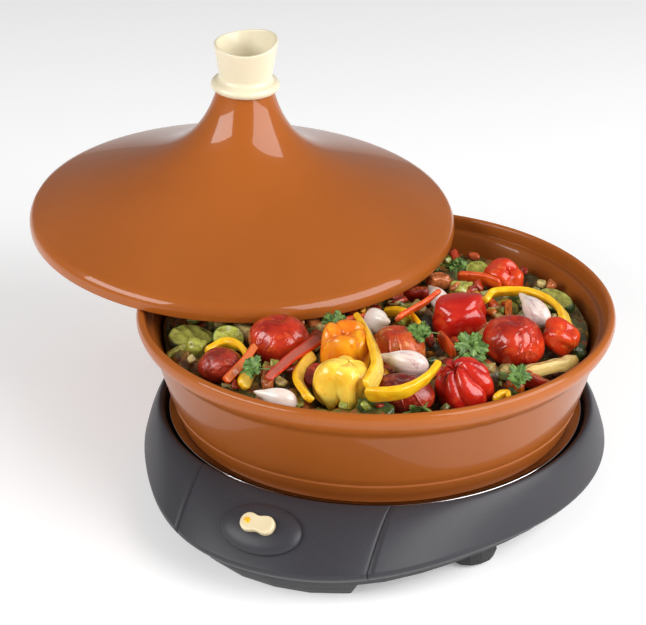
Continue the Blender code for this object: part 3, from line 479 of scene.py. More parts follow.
def lid_place():
    """The lid's placement: it tilts towards the dish's axis and rests on the rim's top."""
    along = (LID_DISTANCE ** 2 + RIM_CONTACT ** 2 - (LID_RADIUS - 1) ** 2) / (2 * LID_DISTANCE)
    rise = (LID_DISTANCE - along) * np.tan(LID_TILT) + LID_GAP
    spot = (LID_DISTANCE * np.cos(LID_BEARING), LID_DISTANCE * np.sin(LID_BEARING), RIM_TOP + rise)
    hinge = Vector((np.sin(LID_BEARING), -np.cos(LID_BEARING), 0))
    return np.array(Matrix.Translation(spot) @ Matrix.Rotation(LID_TILT, 4, hinge))


def moved(points, place):
    """Points turned and moved by a 4 x 4 placement."""
    return points @ place[:3, :3].T + place[:3, 3]


def lid_profile():
    """The closed outline of the lid: outer curve, rounded band, inner curve, crown."""
    share = np.linspace(0, 1, 70) ** 1.6
    radius = NECK_RADIUS + (LID_RADIUS - 3.5 - NECK_RADIUS) * share
    outer = np.stack([radius, lid_height(radius)], 1)
    band = rounded([
        (*outer[-1], 0), (LID_RADIUS - 0.9, LID_BAND - 2.6, 3), (LID_RADIUS, LID_BAND / 2, 4),
        (LID_RADIUS - 0.3, 0.6, 1.5), (LID_RADIUS - 2, 0, 1), (LID_RADIUS - 7, 0, 2),
        (LID_RADIUS - 9.5, 7, 2), (LID_RADIUS - 16, lid_height(LID_RADIUS - 16) - 6.4, 0)])
    radius = radius[5:-6][::-1]
    slope = (lid_height(radius + 0.5) - lid_height(radius - 0.5))
    length = np.hypot(slope, 1)
    inner = np.stack([radius + LID_WALL * slope / length,
                      lid_height(radius) - LID_WALL / length], 1)
    inner = inner[(inner[:, 0] > NECK_RADIUS - 5) & (inner[:, 0] < LID_RADIUS - 18)]
    crown = rounded([(*inner[-1], 0), (NECK_RADIUS - 6.5, NECK_HEIGHT - 20, 3),
                     (NECK_RADIUS - 12, NECK_HEIGHT - 14, 3), (0, NECK_HEIGHT - 14, 0)])
    return np.concatenate([[(0, NECK_HEIGHT)], outer, band[1:], inner, crown[1:]])


LID_PLACE = lid_place()
stand_in(surface("clay_lid", on_axis(moved(turned(lid_profile(), 256), LID_PLACE))), clay,
         "clay_glaze", "lid")

# %% [markdown]
# ## The lid's handle
# The handle is a little cream cup on a rounded flange. Its mouth isn't level: it slants to one
# side and waves, so the turned points are lifted by a slow wave that grows towards the mouth.

# %% Handle
FLANGE_HEIGHT, HANDLE_HEIGHT, CUP_DEPTH = 8, 37, 20
MOUTH_SLANT, MOUTH_WAVE = 2.6, 1.2


def handle_points():
    """The turned cup, its upper part lifted by slant x cos(a - 65) + wave x cos 2(a - 40)."""
    low = NECK_HEIGHT + LID_GAP
    flange, top = low + FLANGE_HEIGHT, low + HANDLE_HEIGHT
    floor = top - CUP_DEPTH
    profile = rounded([
        (0, floor, 0), (15.6, floor + 0.5, 2), (17.4, floor + 5, 3), (21.6, top - 0.6, 0.5),
        (22.7, top + 0.1, 0.7), (23.8, top - 0.8, 0.8), (20.3, flange + 7, 6),
        (19.5, flange + 2.2, 3), (21.2, flange - 0.3, 1.6), (24.3, flange - 1.3, 1.6),
        (25.9, flange - 4.2, 2.6), (24.6, low + 1, 1.6), (22.7, low, 1), (0, low, 0)], 6)
    steps = [np.linspace(a, b, 5)[1:] if abs(b[1] - a[1]) > 6 else b[None]
             for a, b in zip(profile[:-1], profile[1:])]
    rows = np.concatenate([profile[:1], *steps])
    points = turned(rows, 96)
    share = np.clip((points[..., 2] - floor - 6) / (top - floor - 6), 0, None)
    share *= np.hypot(points[..., 0], points[..., 1]) > 16.4
    angle = np.arctan2(points[..., 1], points[..., 0])
    wave = (MOUTH_SLANT * np.cos(angle - np.radians(65))
            + MOUTH_WAVE * np.cos(2 * (angle - np.radians(40))))
    points[..., 2] += share ** 2 * wave
    return points


stand_in(surface("cream_handle", on_axis(moved(handle_points(), LID_PLACE))), cream, "cream_glaze",
         "lid_handle")

# %% [markdown]
# ## The heating base
# Seen from above the base is a circle that bulges forward under the panel and a little at the
# back. So each of its points is a point of a turned profile, pushed outwards by the bulge for
# its bearing. The panel is the same surface on another table, whose columns run straight from
# front to back, and the shell is sunk a little under it, which leaves the thin seam.

# %% Base surface
CREST_RADIUS, EDGE_RADIUS, CREST_HEIGHT, EDGE_HEIGHT = 156.0, 167.0, 59.0, 31.0
SLOPE_POWER = 1.6
FRONT_BULGE, FRONT_SPREAD, BACK_BULGE, BACK_SPREAD = 35, np.radians(36), 15, np.radians(40)
PANEL_HALF, PANEL_SINK, SEAM = 69.0, 1.6, 0.25
PANEL_TOP_RADIUS, PANEL_BOTTOM = 154.3, 23.0


def bulge(bearing):
    """How far the outline stands out beyond its circle: two soft bells, at the front and back."""
    angle = np.abs((bearing + np.pi) % TURN - np.pi)
    front = FRONT_BULGE * np.exp(-(angle / FRONT_SPREAD) ** 2.4)
    return front + BACK_BULGE * np.exp(-((np.pi - angle) / BACK_SPREAD) ** 2)


def base_rows():
    """Radius, height and share of the bulge down the base's outside."""
    share = np.linspace(0, 1, 26)
    slope = np.stack([CREST_RADIUS + share * (EDGE_RADIUS - CREST_RADIUS),
                      CREST_HEIGHT - (CREST_HEIGHT - EDGE_HEIGHT) * share ** SLOPE_POWER], 1)
    top = rounded([(151.4, 50.6, 0), (151.9, 55, 1), (153.2, 58, 1.6), (*slope[0], 1.5),
                   (*slope[2], 0)])
    foot = rounded([(*slope[-2], 0), (*slope[-1], 0.8), (167.3, 28, 2), (164.6, 24.5, 2),
                    (158, 20, 0)])
    rows = np.concatenate([top[:-1], slope[3:-2], foot])
    grow = np.clip((rows[:, 0] - CREST_RADIUS) / (EDGE_RADIUS - CREST_RADIUS), 0, 1)
    grow[rows[:, 1] < EDGE_HEIGHT] = 1
    return rows[:, 0], rows[:, 1], grow


def base_points(radius, height, grow, bearing):
    """x = (r + share x bulge) sin a, y = -(r + share x bulge) cos a, z = height."""
    reach = radius + grow * bulge(bearing)
    return np.stack([reach * np.sin(bearing), -reach * np.cos(bearing),
                     np.broadcast_to(height, reach.shape)], -1)


def bearing_at(x, radius, grow):
    """The bearing at which a row of the surface has that x, found by a few repeated guesses."""
    bearing = np.arcsin(np.clip(x / radius, -1, 1))
    for _ in range(30):
        bearing = np.arcsin(np.clip(x / (radius + grow * bulge(bearing)), -1, 1))
    return bearing


# %% [markdown]
# The shell's columns start at one seam, pass under the panel and go round the back. Where the
# panel covers it, the shell lies 1.6 mm lower. The panel's own edges turn down into the seam.

# %% Shell and panel
def shell_points():
    """Rows of the profile by bearings that keep to the two seams at every height."""
    radius, height, grow = (row[:, None] for row in base_rows())
    seam = bearing_at(PANEL_HALF + SEAM, radius, grow)
    front = np.linspace(-1, 1, 41)[None]
    back = np.linspace(0, 1, 220)[None]
    bearing = np.hstack([seam * front, seam + (TURN - 2 * seam) * back])
    points = base_points(radius, height, grow, bearing)
    covered = (radius > PANEL_TOP_RADIUS - 0.4) & (height > PANEL_BOTTOM - 0.4)
    sunk = covered & (np.arange(bearing.shape[1])[None] < front.size)
    out = points[..., :2] / np.linalg.norm(points[..., :2], axis=-1, keepdims=True)
    points[..., :2] -= PANEL_SINK * sunk[..., None] * out
    points[..., 2] -= PANEL_SINK / 2 * sunk * (height > 40)
    return points


def panel_points():
    """The same profile rows by columns of constant x, closed below by a sunken copy."""
    radius, height, grow = (row[:, None] for row in base_rows())
    keep = ((radius > PANEL_TOP_RADIUS) & (height > PANEL_BOTTOM))[:, 0]
    radius, height, grow = radius[keep], height[keep], grow[keep]
    x = np.linspace(-1, 1, 71)[None] * PANEL_HALF
    outer = base_points(radius, height, grow, bearing_at(x, radius, grow))
    edge_u = np.minimum(np.arange(71), 70 - np.arange(71))[None]
    edge_v = np.minimum(np.arange(len(radius)), len(radius) - 1 - np.arange(len(radius)))[:, None]
    drop = 0.35 * ((edge_u == 0) | (edge_v == 0))
    out = outer[..., :2] / np.linalg.norm(outer[..., :2], axis=-1, keepdims=True)
    outer[..., :2] -= drop[..., None] * out
    inner = outer.copy()
    inner[..., :2] -= 1.5 * out
    inner[..., 2] -= 0.6
    return outer, inner


def slab_of(name, outer, inner):
    """A closed sheet: two tables of points back to back, joined round their edges."""
    rows, columns = outer.shape[:2]
    index = np.arange(rows * columns).reshape(rows, columns)
    sheet = quads(index)
    rim = np.concatenate([index[0, :-1], index[:-1, -1], index[-1, :0:-1], index[:0:-1, 0]])
    after = np.roll(rim, -1)
    walls = np.stack([rim, after, after + rows * columns, rim + rows * columns], -1)
    faces = np.concatenate([sheet, sheet[:, ::-1] + rows * columns, walls])
    return mesh_object(name, np.concatenate([outer.reshape(-1, 3), inner.reshape(-1, 3)]), faces)


shell = shell_points()
lower = shell[-1:] * [0.93, 0.93, 1]
inside = shell[:1] * [0.97, 0.97, 0.99]
stand_in(surface("grey_shell", on_axis(np.concatenate([inside, shell, lower])), closed=True), grey,
         "grey_plastic", "base_shell")
stand_in(slab_of("grey_panel", *map(on_axis, panel_points())), grey, "grey_plastic",
         "control_panel")

# %% [markdown]
# ## Boss, knob and lens
# The knob sits on an oval dome in the panel. Dome and knob share a frame whose upright is square
# to the panel's slope. The knob's outline is a peanut, which is a Cassini oval: the curve whose
# points have a constant product of distances from two centres.

# %% Knob and boss
BOSS_SHARE, BOSS_X = 0.58, -5.5
KNOB_LENGTH, KNOB_WAIST, KNOB_WIDEN, KNOB_HEIGHT = 24.0, 8.4, 1.24, 4.8
BOSS_SIZE = np.array([57.0, 36.0, 15.0])
BOSS_FLAT = BOSS_SIZE[2] / 2 - 0.7
LENS_X = -6.8


def slope_spot(share):
    """y and height on the base's slope straight in front, at a share of the way down."""
    reach = CREST_RADIUS + share * (EDGE_RADIUS - CREST_RADIUS + bulge(np.array(0.0)))
    return -reach, CREST_HEIGHT - (CREST_HEIGHT - EDGE_HEIGHT) * share ** SLOPE_POWER


def boss_place():
    """Placement of the boss on the slope, its Z square to it."""
    (y, height), (next_y, next_height) = slope_spot(BOSS_SHARE), slope_spot(BOSS_SHARE + 0.01)
    tilt = np.arctan2(height - next_height, y - next_y)
    return np.array(Matrix.Translation((BOSS_X, y, height)) @ Matrix.Rotation(tilt, 4, "X"))


def boss_points():
    """An ellipsoid whose top is pressed softly flat where the knob turns."""
    down, around = np.linspace(0, np.pi, 40)[:, None], np.linspace(0, TURN, 96, endpoint=False)
    ball = np.stack([np.sin(down) * np.cos(around), np.sin(down) * np.sin(around),
                     np.cos(down) + 0 * around], -1) * BOSS_SIZE / 2
    over = ball[..., 2] - BOSS_FLAT
    ball[..., 2] -= np.maximum(over, 0) * 0.96
    return ball


def knob_points():
    """Cassini outlines stacked up: straight sides, a rounded edge and a slightly dished top."""
    long, waist = KNOB_LENGTH / 2, KNOB_WAIST / 2
    a2, c2 = (long ** 2 + waist ** 2) / 2, (long ** 2 - waist ** 2) / 2
    angle = np.linspace(0, TURN, 120, endpoint=False)
    inner = np.sqrt(a2 ** 2 - (c2 * np.sin(2 * angle)) ** 2)
    reach = np.sqrt(c2 * np.cos(2 * angle) + inner)
    outline = np.stack([reach * np.cos(angle), reach * np.sin(angle) * KNOB_WIDEN], -1)
    bend = np.linspace(0, np.pi / 2, 9)
    scale = np.concatenate([[0.0, 0.97, 1.0, 1.0], 1 - 0.16 * (1 - np.cos(bend)), [0.6, 0.3, 0.0]])
    level = np.concatenate([[0.0, 0.0, 0.04, 0.7], 0.7 + 0.3 * np.sin(bend), [0.98, 0.96, 0.96]])
    rows = outline[None] * scale[:, None, None]
    return np.concatenate([rows, np.broadcast_to(level[:, None, None] * KNOB_HEIGHT,
                                                 (*rows.shape[:2], 1))], -1)


def dome(radius, low, high, lift, steps=40):
    """A short round button: straight sides and a domed top."""
    share = np.linspace(0, 1, 8)
    profile = np.concatenate([[(0, low)], [(radius, low)],
                              np.stack([radius * np.cos(share * np.pi / 2),
                                        high + lift * np.sin(share * np.pi / 2)], 1)])
    return turned(profile, steps)


BOSS_PLACE = boss_place()
KNOB_PLACE = BOSS_PLACE @ np.array(Matrix.Translation((0, 0, BOSS_FLAT + 0.3)))
stand_in(surface("knob_dome", on_axis(moved(boss_points(), BOSS_PLACE))), grey, "grey_plastic",
         "knob_boss")
stand_in(surface("cream_knob", on_axis(moved(knob_points(), KNOB_PLACE))), cream_plastic,
         "cream_plastic", "control_knob", body="knob")
lens = dome(2.3, KNOB_HEIGHT - 1.5, KNOB_HEIGHT + 0.1, 0.6) + [LENS_X, 0, 0]
stand_in(surface("amber_lens", on_axis(moved(lens, KNOB_PLACE))), amber, "amber_lens", "knob_lens",
         body="knob")

# %% [markdown]
# ## Parts kept from the CAD model
# The dark underside, its keel, the feet and the cord gland have the right shapes already, so
# they only get their finishes.

# %% Underside
paint(black, "base_underside", "front_keel", "cord_gland")
paint(rubber, "foot_1", "foot_2", "foot_3", "foot_4")

# %% [markdown]
# ## Food: a table of points with its own coordinates
# Skins, stripes and cut faces follow each vegetable and not the room, so every food mesh keeps
# its own coordinates as an attribute that its material reads. Each vegetable is one table of
# points with a pole at either end, or several such tables joined.

# %% Food helpers
def ring_faces(rows, columns):
    """Four-sided faces of a table whose last column joins the first."""
    index = np.arange(rows * columns).reshape(rows, columns)
    return quads(np.hstack([index, index[:, :1]]))


def food(name, tables, material, slot, *nodes):
    """One mesh of several (points in metres, own coordinates) tables, in the place of CAD nodes."""
    points = np.concatenate([spots.reshape(-1, 3) for spots, _ in tables])
    own = np.concatenate([inner.reshape(-1, 3) for _, inner in tables])
    faces, first = [], 0
    for spots, _ in tables:
        faces.append(ring_faces(*spots.shape[:2]) + first)
        first += spots.shape[0] * spots.shape[1]
    return stand_in(mesh_object(name, points, np.concatenate(faces), own), material, slot, *nodes)


def globe(rows, columns):
    """Angle down from the pole (rows, 1) and angle round (columns)."""
    return np.linspace(0, np.pi, rows)[:, None], np.linspace(0, TURN, columns, endpoint=False)


def ball_points(down, around):
    """Unit ball: (sin d cos a, sin d sin a, cos d)."""
    return np.stack([np.sin(down) * np.cos(around), np.sin(down) * np.sin(around),
                     np.cos(down) + 0 * around], -1)


def ripples(points, wave, seed, count=16):
    """Soft noise near -1 to 1: sine waves of about that length in random directions, added up."""
    draw = np.random.default_rng(seed)
    ways = draw.normal(size=(count, 3))
    ways *= (TURN / wave / np.linalg.norm(ways, axis=1, keepdims=True)
             * draw.uniform(0.6, 1.5, (count, 1)))
    return np.sin(points @ ways.T + draw.uniform(0, TURN, count)).sum(-1) / np.sqrt(count / 2)


def boxed(values, power):
    """Sign x |value|^power, which makes a ball's coordinates boxy when the power is under 1."""
    return np.sign(values) * np.abs(values) ** power


def turn_of(degrees):
    """The 3 x 3 turn by Euler degrees."""
    return np.array(Euler(np.radians(degrees)).to_matrix())


def shift_to(node_name, spots):
    """The move that brings the middle of the points' box to the middle of a CAD node's box."""
    low, high = (np.array(corner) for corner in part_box(node_name))
    flat = spots.reshape(-1, 3)
    return (low + high) / 2 - (flat.min(0) + flat.max(0)) / 2


def set_down(points, node_name, turn=(0, 0, 0)):
    """Turns points in mm and moves them to a CAD node's place."""
    spots = points @ turn_of(turn).T * MM
    return spots + shift_to(node_name, spots)


# %% [markdown]
# ## Where a wrinkle shows
# Some marks belong to the side that the picture shows, such as the wrinkles of a roasted skin. A
# patch is a soft spot on a ball, given by how far right and up it lies as seen from the camera.

# %% Patches
# Rows: the camera's right, its up, and the way back to it
FACING = np.array([[0.917, 0.400, -0.004], [-0.173, 0.405, 0.898], [0.361, -0.822, 0.440]])


def patch(ball, right, up, wide, tall):
    """exp(-(across / wide)^2 - (high / tall)^2) on the side that faces the camera."""
    across, high, near = np.moveaxis(ball @ FACING.T, -1, 0)
    bell = np.exp(-((across - right) / wide) ** 2 - ((high - up) / tall) ** 2)
    return bell * np.clip(4 * near, 0, 1)


def skin_material(name, dark, light, blush, gloss, coat=0.3, fine=0.0002):
    """Shiny skin: its colour drifts between two tones, with blush spots and a fine wrinkle."""
    made = start_material(name, gloss, Coat_Weight=coat, Coat_Roughness=0.04,
                          Specular_IOR_Level=0.4, Subsurface_Weight=0.04,
                          Subsurface_Radius=(0.004, 0.0012, 0.0006))
    own = own_spot(made)
    drift = clouds(made, own, 1.4, 4)
    tone = ramp(made, drift, [(0.35, dark), (0.62, light)])
    spots = clouds(made, own, 3.2, 6)
    share = ramp(made, spots, [(0.58, (0, 0, 0)), (0.72, (1, 1, 1))])
    colour = mix(made, share, tone, (*blush, 1))
    connect(made, colour, "Base Color")
    grain = clouds(made, own, 9, 5)
    bump(made, grain, fine)
    return made


# %% [markdown]
# ## Tomatoes
# A roasted tomato keeps its round shape, but its skin has come loose in places and lies in fine
# ridges. Noise that is stretched from top to bottom crosses zero along winding lines. Where it
# does, the skin rises, and a few patches keep the ridges to the parts that wrinkled.

# %% Tomatoes
def tomato_points(size, seed, patches, wave=0.5, height=0.085, dent=0.035):
    """Ball x (1 + dents + height (1 - |noise|)^4 in the patches), drawn in at the stem."""
    down, around = globe(150, 250)
    ball = ball_points(down, around)
    noise = ripples(ball * [1, 1, 0.5], wave, seed + 1)
    ridges = (1 - np.clip(np.abs(noise) * 1.6, 0, 1)) ** 2.5
    mask = np.clip(sum(patch(ball, *spot) for spot in patches), 0, 1)
    grow = 1 + dent * ripples(ball, 2.0, seed) - 0.16 * np.exp(-(down / 0.28) ** 2)
    grow = grow + height * (ridges - 0.4) * mask
    return ball * grow[..., None] * np.array(size) / 2, ball


tomato_skin = skin_material("tomato skin", (0.30, 0.012, 0.005), (0.56, 0.036, 0.009),
                            (0.62, 0.08, 0.020), 0.16)
peeled_flesh = skin_material("peeled tomato", (0.44, 0.035, 0.008), (0.62, 0.12, 0.022),
                             (0.74, 0.34, 0.13), 0.22, 0.3, 0.0009)
wet_flesh = skin_material("wet tomato", (0.13, 0.008, 0.004), (0.36, 0.022, 0.008),
                          (0.50, 0.09, 0.03), 0.14, 0.4, 0.0007)
brown_flesh = skin_material("browned tomato", (0.20, 0.014, 0.007), (0.42, 0.032, 0.012),
                            (0.50, 0.09, 0.04), 0.22, 0.3, 0.0006)
for name, skin, node_name, size, seed, patches, wave in (
        ("roast_tomato_1", tomato_skin, "tomato_1", (43, 42, 39), 41,
         ((-0.58, -0.12, 0.30, 0.40), (0.22, 0.30, 0.36, 0.30)), 0.42),
        ("roast_tomato_2", tomato_skin, "tomato_2", (43, 41, 37), 45,
         ((0.42, 0.05, 0.34, 0.80), (0.04, 0.1, 0.10, 0.8), (-0.6, 0.1, 0.2, 0.4)), 0.42),
        ("peeled_tomato_1", peeled_flesh, "tomato_half_1", (40, 36, 31), 62,
         ((0.0, 0.2, 0.8, 0.7),), 0.9),
        ("peeled_tomato_3", wet_flesh, "tomato_half_3", (40, 32, 27), 63,
         ((0.0, 0.0, 0.9, 0.9),), 1.0),
        ("peeled_tomato_4", brown_flesh, "tomato_half_4", (31, 27, 25), 64,
         ((0.0, 0.1, 0.8, 0.7),), 0.6)):
    points, own = tomato_points(size, seed, patches, wave)
    slot = "tomato" if skin is tomato_skin else "cut_tomato"
    food(name, [(set_down(points, node_name), own)], skin, slot, node_name)

# %% [markdown]
# ## Halved tomatoes
# The cut face of a tomato shows a ring of wall, a few seed chambers full of jelly, and seeds. The
# lower half is a ball. Above the cut every point is pressed to the plane, then the chambers sink
# and the seeds rise a little.

# %% Cut tomatoes
def cut_tomato_points(size, seed, chambers=4):
    """Ball pressed flat above its middle; chambers are bells round the axis, 1.3 mm deep."""
    down, around = globe(90, 150)
    ball = ball_points(down, around)
    points = ball * (1 + 0.03 * ripples(ball, 1.4, seed))[..., None] * np.array(size) / 2
    cut = points[..., 2] > 1
    out = np.hypot(ball[..., 0], ball[..., 1])
    chamber = (np.exp(-((out - 0.58) / 0.24) ** 4)
               * np.clip(1.6 * np.abs(np.cos(chambers / 2 * around)) - 0.3, 0, 1))
    seeds = np.clip(ripples(points * [1, 1, 0], 3.4, seed + 3), 0, 1) ** 2
    level = 1 + 0.5 * np.exp(-(out / 0.25) ** 2) - 1.3 * chamber + 1.0 * seeds * chamber
    level += 0.25 * ripples(points * [1, 1, 0], 2.5, seed + 5)
    fold = np.clip((1 - out) / 0.05, 0, 1)
    points[..., 2] = np.where(cut, 1 + (level - 1) * fold, points[..., 2])
    own = ball.copy()
    own[..., 2] = np.where(cut, 1 + chamber * (1 + seeds), np.minimum(ball[..., 2], 0))
    return points, own


def cut_tomato_material():
    """Skin below, wall flesh on the cut, orange jelly and pale seeds in the chambers."""
    made = start_material("cut tomato", 0.2, Coat_Weight=0.4, Coat_Roughness=0.06,
                          Subsurface_Weight=0.1, Subsurface_Radius=(0.005, 0.0015, 0.0006))
    own = own_spot(made)
    height = node(made, "SeparateXYZ", {"Vector": own}).outputs["Z"]
    base = ramp(made, height, [(0.0, (0.40, 0.016, 0.005)), (0.45, (0.48, 0.035, 0.010)),
                               (1.0, (0.58, 0.055, 0.012))])
    deep = node(made, "MapRange", {"Value": height, "From Min": 1.0, "From Max": 3.0})
    jelly = ramp(made, deep.outputs["Result"], [
        (0.0, (0.56, 0.06, 0.015)), (0.5, (0.62, 0.10, 0.015)), (0.85, (0.74, 0.32, 0.08))])
    on_cut = node(made, "Math", {0: height, 1: 0.99}, operation="GREATER_THAN")
    mixed = mix(made, on_cut.outputs[0], base, jelly)
    patches = clouds(made, own, 2.5, 5)
    shade = ramp(made, patches, [(0.35, (0.62, 0.50, 0.42)), (0.62, (1, 1, 1))])
    colour = mix(made, 1.0, mixed, shade, "MULTIPLY")
    connect(made, colour, "Base Color")
    grain = clouds(made, own, 12, 4)
    bump(made, grain, 0.0005)
    return made


cut_flesh = cut_tomato_material()
for number, size, turn in ((2, (30, 28, 22), (-15, -10, 0)), (5, (27, 20, 17), (-18, 25, 20))):
    points, own = cut_tomato_points(size, 60 + number)
    node_name = f"tomato_half_{number}"
    food(f"cut_tomato_{number}", [(set_down(points, node_name, turn), own)], cut_flesh,
         "cut_tomato", node_name)

# %% [markdown]
# ## Small lobed peppers
# These peppers look like little lanterns: rounded lobes with sharp folds between them. The folds
# come from the absolute value of a cosine, which is round at its crests and sharp at its zeros,
# and they deepen towards the end where the lobes hang free.

# %% Lobed peppers
def pepper_points(size, lobes, taper, seed, fold, hang, square, neck=0.0):
    """Ball^square x (1 - fold x depth x (1 - |cos(lobes a / 2)|^0.8) - taper z); the depth of a
    fold grows downwards by the share that hang gives."""
    down, around = globe(130, 220)
    ball = ball_points(down, around)
    low = (1 + ball[..., 2]) / 2
    bend = around + 0.16 * np.sin(2 * down + seed) + 0.05 * ripples(ball, 1.2, seed)
    crest = np.abs(np.cos(lobes * bend / 2)) ** 0.8
    deep = fold * (1 - hang + hang * low)
    grow = 1 + 0.3 * deep - deep * (1 - crest) + 0.05 * ripples(ball, 1.3, seed + 1)
    boxy = boxed(ball, square)
    wide = grow - taper * ball[..., 2] / 2 - neck * np.clip(ball[..., 2], 0, 1) ** 0.7
    end = 0.30 * np.exp(-(np.sin(down) / 0.3) ** 2) * low * (neck == 0)
    height = boxy[..., 2] * (grow - end)
    points = np.stack([boxy[..., 0] * wide, boxy[..., 1] * wide, height], -1) * np.array(size) / 2
    return points, ball


red_skin = skin_material("red pepper skin", (0.40, 0.008, 0.005), (0.56, 0.020, 0.008),
                         (0.62, 0.05, 0.018), 0.12)
yellow_skin = skin_material("yellow pepper skin", (0.90, 0.50, 0.030), (0.95, 0.68, 0.10),
                            (0.90, 0.36, 0.01), 0.14)
orange_skin = skin_material("orange pepper skin", (0.72, 0.16, 0.006), (0.88, 0.36, 0.012),
                            (0.66, 0.07, 0.01), 0.16)
ember_skin = skin_material("ember pepper skin", (0.56, 0.028, 0.006), (0.66, 0.065, 0.010),
                           (0.74, 0.16, 0.03), 0.14)
for kind, skin, size, turn, lobes, taper, fold, hang, square, neck in (
        ("red_block", red_skin, (38, 36, 38), (0, 82, 24), 4, 0.1, 0.10, 0.0, 0.82, 0),
        ("red_bonnet", red_skin, (40, 38, 37), (14, -22, 0), 8, 0.25, 0.17, 0.2, 1.0, 0),
        ("yellow_bonnet", yellow_skin, (37, 35, 37), (168, 8, 0), 6, 0.30, 0.36, 0.8, 0.85, 0),
        ("orange_bonnet", orange_skin, (34, 31, 38), (6, 5, 10), 4, 0.1, 0.16, 0.0, 0.72, 0),
        ("orange_piece", ember_skin, (28, 26, 22), (20, 40, 30), 3, 0.1, 0.08, 0.3, 0.9, 0),
        ("red_back", ember_skin, (30, 26, 26), (20, 30, 0), 3, 0.2, 0.16, 0.3, 0.9, 0)):
    points, own = pepper_points(size, lobes, taper, len(kind) + lobes, fold, hang, square, neck)
    colour = kind.split("_")[0]
    food(f"lobed_{kind}", [(set_down(points, f"pepper_{kind}", turn), own)], skin,
         f"{colour}_pepper", f"pepper_{kind}")

# %% [markdown]
# ## Garlic cloves
# A clove is a ball drawn out to a tip, bent, and flatter on the side that faced its neighbours.
# Its papery skin has a few thin purple lines that run to the tip. Two cloves are peeled.

# %% Garlic
def clove_points(size):
    """Ball narrowed by 1 - 0.62 t^1.9 towards its tip at t = 1, bent by 0.16 t^2, softly ribbed."""
    down, around = globe(90, 120)
    ball = ball_points(down, around) / 2
    length, width, depth = size
    along = ball[..., 2] + 0.5
    ribs = 1 + 0.012 * np.cos(7 * around + 2 * along)
    slim = (1 - 0.62 * along ** 1.9) * ribs
    inner = np.where(ball[..., 0] < 0, 0.78, 1.0)
    x = (ball[..., 0] * slim * inner - 0.16 * along ** 2) * depth
    y = ball[..., 1] * slim * width
    z = (ball[..., 2] + 0.8 * np.clip(along - 0.86, 0, None)) * length
    return np.stack([x, y, z], -1), ball * 2


def garlic_material(name, line, gloss):
    """Pale paper with lines in one colour: noise stretched along the clove's own length."""
    made = start_material(name, gloss, Coat_Weight=0.3, Coat_Roughness=0.1, Subsurface_Weight=0.15,
                          Subsurface_Radius=(0.004, 0.003, 0.002))
    own = own_spot(made)
    drawn = node(made, "Mapping", {"Vector": own, "Scale": (1, 1, 0.10)}).outputs["Vector"]
    lines = clouds(made, drawn, 4.5, 3)
    stripe = ramp(made, lines, [
        (0.30, (0.84, 0.77, 0.70)), (0.56, (0.84, 0.76, 0.69)), (0.58, line),
        (0.60, (0.82, 0.73, 0.66)), (0.8, (0.84, 0.78, 0.70))])
    height = node(made, "SeparateXYZ", {"Vector": own}).outputs["Z"]
    tip = ramp(made, height, [(0.0, (0.92, 0.84, 0.84)), (0.3, (1, 1, 1)), (0.9, (1, 0.97, 0.92)),
                              (1.0, (0.80, 0.66, 0.50))])
    colour = mix(made, 1.0, stripe, tip, "MULTIPLY")
    connect(made, colour, "Base Color")
    bump(made, lines, 0.00012)
    return made


garlic_skin = garlic_material("garlic skin", (0.46, 0.20, 0.27), 0.3)
garlic_flesh = garlic_material("peeled garlic", (0.80, 0.70, 0.58), 0.22)
for number, size, turn, skin in (
        (1, (27, 18, 15), (80, 0, -75), garlic_flesh),
        (2, (27, 21, 19), (70, 10, 60), garlic_flesh),
        (3, (27, 19, 16), (80, 0, -125), garlic_skin),
        (4, (35, 22, 20), (80, 10, -125), garlic_skin),
        (5, (33, 21, 19), (84, 0, -77), garlic_skin)):
    points, own = clove_points(size)
    food(f"clove_{number}", [(set_down(points, f"garlic_{number}", turn), own)], skin,
         "garlic", f"garlic_{number}")

# %% [markdown]
# ## Pepper strips
# A strip is a slice of a pepper's wall: shiny skin on one broad side and pale flesh on the
# other. It follows a smooth curve through a few points. At each place along the curve, a box
# with rounded corners is set square to it, and the boxes shrink to a point at both ends.

# %% Strips
def smooth_path(spots, count):
    """Catmull-Rom curve: through each spot, with the slope of the line between its neighbours."""
    spots = np.array(spots, float)
    ends = np.concatenate([[2 * spots[0] - spots[1]], spots, [2 * spots[-1] - spots[-2]]])
    place = np.linspace(0, len(spots) - 1 - 1e-6, count)
    first = place.astype(int)
    t = (place - first)[:, None]
    a, b, c, d = (ends[first + k] for k in range(4))
    return 0.5 * (2 * b + (c - a) * t + (2 * a - 5 * b + 4 * c - d) * t ** 2
                  + (3 * b - a - 3 * c + d) * t ** 3)


